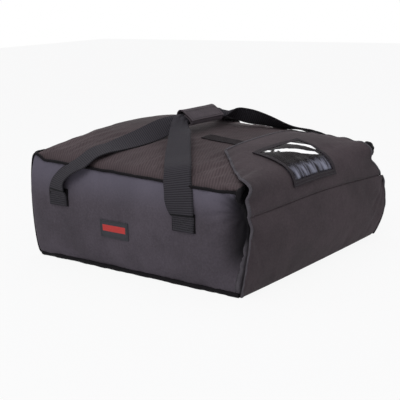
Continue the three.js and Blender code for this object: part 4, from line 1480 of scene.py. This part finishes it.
# Each end: out from the side's cloth, y and z up the side, then x, y and lift over the roof.
# The front handle lies over the rear one in the grip.
REAR_TOP = [
    (0.226, 0.104, 0.008), (0.190, 0.083, 0.007), (0.145, 0.056, 0.010), (0.105, 0.039, 0.017),
    (0.080, 0.026, 0.025),
]
HANDLES = {
    "front": {
        "y": -0.139, "low": 0.108, "layer": 1, "twist": 16,
        "side": [
            (0.0030, -0.139, 0.108), (0.0034, -0.1395, 0.1340), (0.0070, -0.1395, 0.1390),
            (0.0098, -0.139, 0.147), (0.0120, -0.136, 0.164), (0.0130, -0.132, 0.182),
            (0.0155, -0.126, 0.199),
        ],
        "left": [
            (0.242, -0.117, 0.021), (0.197, -0.082, 0.0145), (0.130, -0.033, 0.0215),
            (0.081, 0.002, 0.028),
        ],
        "right": [
            (0.242, -0.124, 0.013), (0.205, -0.115, 0.0055), (0.164, -0.090, 0.0085),
            (0.136, -0.060, 0.0160), (0.111, -0.030, 0.0230), (0.086, -0.003, 0.0275),
        ],
    },
    "rear": {
        "y": 0.176, "low": 0.119, "layer": -1, "twist": -22,
        "side": [
            (0.0030, 0.176, 0.119), (0.0034, 0.176, 0.1440), (0.0066, 0.176, 0.1500),
            (0.0088, 0.174, 0.158), (0.0100, 0.171, 0.169), (0.0110, 0.158, 0.184),
            (0.0120, 0.140, 0.196), (0.0120, 0.120, 0.206),
        ],
        "left": REAR_TOP,
        "right": REAR_TOP,
    },
}
# Width of a handle and its turn about its own line, by distance from the middle
strap_width = through(
    [0.040, 0.062, 0.076, 0.090, 0.130, 0.168, 0.210, 0.250],
    [0.52, 0.56, 0.70, 0.78, 0.86, 0.93, 0.98, 1.0],
)
strap_turn = {
    ("front", -1): through([0.045, 0.066, 0.116, 0.200], [35, 35, 4, 0]),
    ("front", 1): through(
        [0.045, 0.064, 0.084, 0.111, 0.136, 0.164, 0.210], [35, 24, -30, -50, -32, -12, 0]
    ),
    ("rear", -1): through([0.045, 0.066, 0.105, 0.145, 0.200], [35, 40, 44, 26, 0]),
    ("rear", 1): through([0.045, 0.066, 0.105, 0.145, 0.200], [35, 30, 12, 4, 0]),
}


def in_grip(handle, x):
    """A handle's place in the grip or beside it, at a distance from the grip's middle."""
    return tuple(GRIP_PLACE + (x, 0, 0) + GRIP_OUT * handle["layer"] * GRIP_LAYER)


def handle_points(handle, side):
    """A handle's line from its sewn end to the grip."""
    points = [
        (side * (float(skin.side(side, y, z)) + out), y, z) for out, y, z in handle["side"]
    ]
    for x, y, lift in handle["left" if side < 0 else "right"]:
        points.append((side * x, y, float(skin.top(side * x, y)) + lift))
    return points + [in_grip(handle, side * (GRIP_LENGTH / 2 + 0.008))]


def handle_ways(name, handle, centres):
    """Ways across and out of the webbing along a handle.

    On the roof it lies along the roof, and down the side it turns to lie along the side.
    """
    along = unit(np.gradient(centres, axis=0))
    x, y, z = centres.T
    far = np.abs(x)
    plan = unit(np.stack([-along[:, 1], along[:, 0], 0 * x], 1))
    step = plan * STRAP_HALF
    rise = crown(x + step[:, 0], y + step[:, 1]) - crown(x - step[:, 0], y - step[:, 1])
    plan[:, 2] = rise / (2 * STRAP_HALF)
    across = unit(plan)
    last = {side: across[np.argmin(np.abs(x - side * STRAP_EDGE))] for _, side in SIDES}
    for n in np.flatnonzero(far > STRAP_EDGE):
        side, height = int(np.sign(x[n])), z[n] - handle["low"]
        turned = float(smooth(height, 0.028, 0.110))
        way = unit(mix(np.array(INWARD), last[side], turned))
        twist = math.radians(-side * handle["twist"]) * math.exp(-((height - 0.052) / 0.018) ** 2)
        across[n] = Matrix.Rotation(twist, 3, "Z") @ Vector(way)
    for _ in range(40):
        across[1:-1] = unit(across[:-2] + 2 * across[1:-1] + across[2:])
    angle = np.radians(np.where(x < 0, strap_turn[name, -1](far), strap_turn[name, 1](far)))
    up = unit(np.cross(along, across))
    across = across * np.cos(angle)[:, None] + up * np.sin(angle)[:, None]
    return across, unit(np.cross(along, across))


def make_handle(name, handle):
    """One length of webbing, from a sewn end over the roof and through the grip."""
    left, right = handle_points(handle, -1), handle_points(handle, 1)
    inside = [in_grip(handle, side * 0.045) for _, side in SIDES]
    centres = spaced(route(left + inside + right[::-1], 900), 0.0034)
    across, up = handle_ways(name, handle, centres)
    x, y, z = centres.T
    far, height = np.abs(x), z - handle["low"]
    on_side = far > 0.2
    tab = (1 - smooth(height, 0.025, 0.045)) * on_side
    shoulder = np.exp(-((height - 0.062) / 0.020) ** 2) * on_side
    width = STRAP_HALF * strap_width(far) * (1 - 0.05 * tab + 0.05 * shoulder)
    near = 1 - smooth(far, 0.062, 0.100)
    columns = np.linspace(-1, 1, 15)
    rows = []
    for n in range(len(centres)):
        bow = (0.0042 * near[n] + 0.0012 * shoulder[n]) * (columns ** 2 - 0.4)
        crease = near[n] * 0.0014 * np.cos(columns * 9.5 + 0.6 * math.sin(x[n] * 70))
        slack = 0.0009 * noise.noise((x[n] * 22, y[n] * 22, z[n] * 22 + handle["layer"])) * columns
        wide, high = np.outer(columns * width[n], across[n]), np.outer(crease - bow + slack, up[n])
        rows.append(centres[n] + wide + high)
    grid = np.array(rows)
    strap = cloth(
        f"webbing_handle_{name}", grid, STRAP_THICK, webbing, lift=-STRAP_THICK / 2,
        turn=turn_to(grid, (len(grid) // 2, 7), GRIP_OUT), start=(0, -STRAP_HALF),
    )
    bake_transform(strap)
    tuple(HANDLE_START)
    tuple(HANDLE_END)
    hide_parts(f"handle_strap_{name}")


def box_stitch(side, handle):
    """Points of a sewn box with a cross in it, at the end of a handle."""
    front, back = handle["y"] - SEWN_HALF, handle["y"] + SEWN_HALF
    low, high = handle["low"] + SEWN_LOW, handle["low"] + SEWN_HIGH
    corners = [(front, low), (back, low), (back, high), (front, high)]
    corners += [(front, low), (back, high), (front, high), (back, low)]
    path = []
    for (y0, z0), (y1, z1) in zip(corners[:-1], corners[1:]):
        for t in np.linspace(0, 1, 12)[:-1]:
            y, z = mix(y0, y1, t), mix(z0, z1, t)
            path.append((side * (float(skin.side(side, y, z)) + 0.0052), y, z))
    return np.array(path)


def make_strap_ends():
    for place, handle in HANDLES.items():
        y_ends = (handle["y"] - PATCH_HALF, handle["y"] + PATCH_HALF)
        z_ends = (handle["low"] + PATCH_LOW, handle["low"] + PATCH_HIGH)
        for name, side in SIDES:
            grid = side_grid(side, y_ends, z_ends, 22, 0.0004)
            turn = turn_to(grid, (11, 7), (side, 0, 0))
            patch = cloth(f"handle_patch_{place}_{name}", grid, 0.0016, dark_tape, turn=turn)
            on("bag", patch, f"strap_patch_{place}_{name}")
            row = box_stitch(side, handle)
            on("bag", small_stitches(f"strap_stitches_{place}_{name}", row, (side, 0, 0)))


def grip_sheet(name, outline, seed):
    """Cloth wrapped along an outline across the grip, with soft corners."""
    across, out = spaced(route([(a, b, 0) for a, b in outline], 160), 0.0015).T[:2]
    half, thickness, rows = GRIP_LENGTH / 2, 0.002, []
    for offset in np.linspace(-half, half, 44):
        flat = np.stack([np.full(len(across), offset), across, out], 1)
        wave = 0.0007 * waves(flat, (0.030, 0.012, 0.012), seed)
        spread = 1 + 0.05 * (abs(offset) / half) ** 6
        wide, high = np.outer(across * spread, GRIP_ACROSS), np.outer(out + wave, GRIP_OUT)
        rows.append(GRIP_PLACE + (offset, 0, 0) + wide + high)
    grid = np.array(rows)
    return cloth(name, grid, thickness, grip_cloth, lift=-thickness / 2), grid


WRAP_HALF, WRAP_TOP = 0.0172, 0.0052
TAPE_REACH, TAPE_FRONT, TAPE_BACK = 0.051, -0.0135, 0.0015


def make_grip():
    """The wrap round the handles, its closing leaf, and the hook and loop tapes between them."""
    half, top = WRAP_HALF, WRAP_TOP
    wrap_line = [
        (half - 0.001, -top + 0.001), (half - 0.004, -top), (0, -top - 0.0008), (-half + 0.004, -top),
        (-half - 0.0006, -top * 0.5), (-half - 0.0008, 0), (-half - 0.0002, top * 0.55),
        (-half + 0.004, top), (0, top + 0.0006), (0.004, top),
    ]
    wrap, _ = grip_sheet("grip_wrap_cloth", wrap_line, 101)
    on("grip", wrap, "grip_wrap")
    leaf_line = [
        (half + 0.0015, -top), (half + 0.0026, -0.001), (half + 0.0018, top),
        (half - 0.003, top + 0.0038), (0, top + 0.0050), (-half + 0.004, top + 0.0042),
        (-half - 0.0012, top + 0.0034),
    ]
    leaf, grid = grip_sheet("grip_leaf_cloth", leaf_line, 102)
    on("grip_leaf", leaf, "grip_leaf")
    cells = round_grid(2, 16, len(grid) - 3, len(grid[0]) - 3)[:-1]
    row = np.array([grid[cell] for cell in cells]) + GRIP_OUT * 0.0014
    on("grip_leaf", small_stitches("grip_leaf_stitches", row, GRIP_OUT))
    x = np.linspace(-TAPE_REACH, TAPE_REACH, 24)[:, None, None] * np.array([1.0, 0, 0])
    a = np.linspace(TAPE_FRONT, TAPE_BACK, 8)[None, :, None] * GRIP_ACROSS
    for kind, finish, low, body in (
        ("loop", loop_tape, 0.0068, "grip"), ("hook", hook_tape, 0.0077, "grip_leaf")
    ):
        places = GRIP_PLACE + x + a + low * GRIP_OUT
        on(body, cloth(f"grip_{kind}_tape", places, 0.0008, finish), f"grip_{kind}_patch")


# Build

make_outer_shell()
make_lining()
make_piping()
make_mouth_binding()
make_flap_pad()
make_flap_bindings()
make_base_lip()
tongue, tongue_out = make_tongue()
make_tongue_binding(tongue, tongue_out)
make_cross_seam(tongue, tongue_out)
make_strips()
make_window()
make_label()
for handle_name, handle_form in HANDLES.items():
    make_handle(handle_name, handle_form)
make_strap_ends()
make_grip()


# Camera, floor and light

# The photo's view: turns round the bag, above the horizon and about the line of sight
CAMERA_ROUND, CAMERA_ABOVE, CAMERA_TILT = math.radians(-52.0), math.radians(13.3), math.radians(-1.66)
CAMERA_PLACE, CAMERA_LENS, CAMERA_SENSOR = (-1.4649, -1.1211, 0.5328), 81, 36


def place_camera():
    level, rise = math.cos(CAMERA_ABOVE), math.sin(CAMERA_ABOVE)
    back = Vector((math.sin(CAMERA_ROUND) * level, -math.cos(CAMERA_ROUND) * level, rise))
    right = Vector((0, 0, 1)).cross(back).normalized()
    up = back.cross(right)
    tilted_right = right * math.cos(CAMERA_TILT) + up * math.sin(CAMERA_TILT)
    tilted_up = up * math.cos(CAMERA_TILT) - right * math.sin(CAMERA_TILT)
    camera = bpy.data.objects.new("camera", bpy.data.cameras.new("camera"))
    camera.data.lens, camera.data.sensor_width = CAMERA_LENS, CAMERA_SENSOR
    axes = Matrix((tilted_right, tilted_up, back)).transposed().to_4x4()
    camera.matrix_world = Matrix.Translation(CAMERA_PLACE) @ axes
    bpy.context.scene.collection.objects.link(camera)
    bpy.context.scene.camera = camera


def seen_directly(nodes):
    """1 for rays from the camera and rays that a glossy or clear surface sends on."""
    ray = nodes.node("ShaderNodeLightPath").socket.node
    kinds = ("Is Camera Ray", "Is Glossy Ray", "Is Transmission Ray")
    camera, glossy, clear = (Wire(nodes, ray.outputs[kind]) for kind in kinds)
    return (camera + glossy + clear).math("MINIMUM", 1.0)


FLOOR_REACH = 6


def make_floor():
    """A pale floor that keeps the bag's shadow."""
    finish = Finish("floor", "nylon", Base_Color=(0.9, 0.9, 0.9, 1), Roughness=0.9)
    white = finish.node("ShaderNodeEmission", None, {"Color": (1, 1, 1, 1), "Strength": 1.0})
    share = seen_directly(finish) * 0.90
    diffuse = Wire(finish, finish.shader.outputs[0])
    mixed = finish.node("ShaderNodeMixShader", None, {0: share, 1: diffuse, 2: white})
    output = finish.tree.nodes["Material Output"]
    finish.tree.links.new(mixed.socket, output.inputs["Surface"])
    mesh = bpy.data.meshes.new("floor")
    corners = [(x * FLOOR_REACH, y * FLOOR_REACH, 0) for x, y in ((-1, -1), (1, -1), (1, 1), (-1, 1))]
    mesh.from_pydata(corners, [], [[0, 1, 2, 3]])
    mesh.materials.append(finish.material)
    floor = bpy.data.objects.new("floor", mesh)
    bpy.context.scene.collection.objects.link(floor)


def make_world():
    """A white backdrop, which lights the bag a little dimmer than it looks."""
    world = bpy.data.worlds.new("studio")
    world.use_nodes = True
    bpy.context.scene.world = world
    nodes = Nodes(world.node_tree)
    backdrop = world.node_tree.nodes["Background"]
    light = nodes.blend(seen_directly(nodes), (0.40, 0.40, 0.43), (1.0, 1.0, 1.0))
    world.node_tree.links.new(light.socket, backdrop.inputs["Color"])


def add_lamp(name, place, target, size, power):
    lamp = bpy.data.lights.new(name, "AREA")
    lamp.shape, lamp.size, lamp.energy = "DISK", size, power
    holder = bpy.data.objects.new(name, lamp)
    holder.location = place
    holder.rotation_euler = (Vector(place) - Vector(target)).to_track_quat("Z", "Y").to_euler()
    bpy.context.scene.collection.objects.link(holder)


place_camera()
make_floor()
make_world()
add_lamp("key_lamp", (-1.6, -0.6, 1.9), (0, 0, 0.12), 1.4, 14)
add_lamp("top_lamp", (0.4, 0.5, 2.2), (0, 0, 0.15), 1.6, 4.5)
bpy.context.scene.view_settings.view_transform = "Standard"
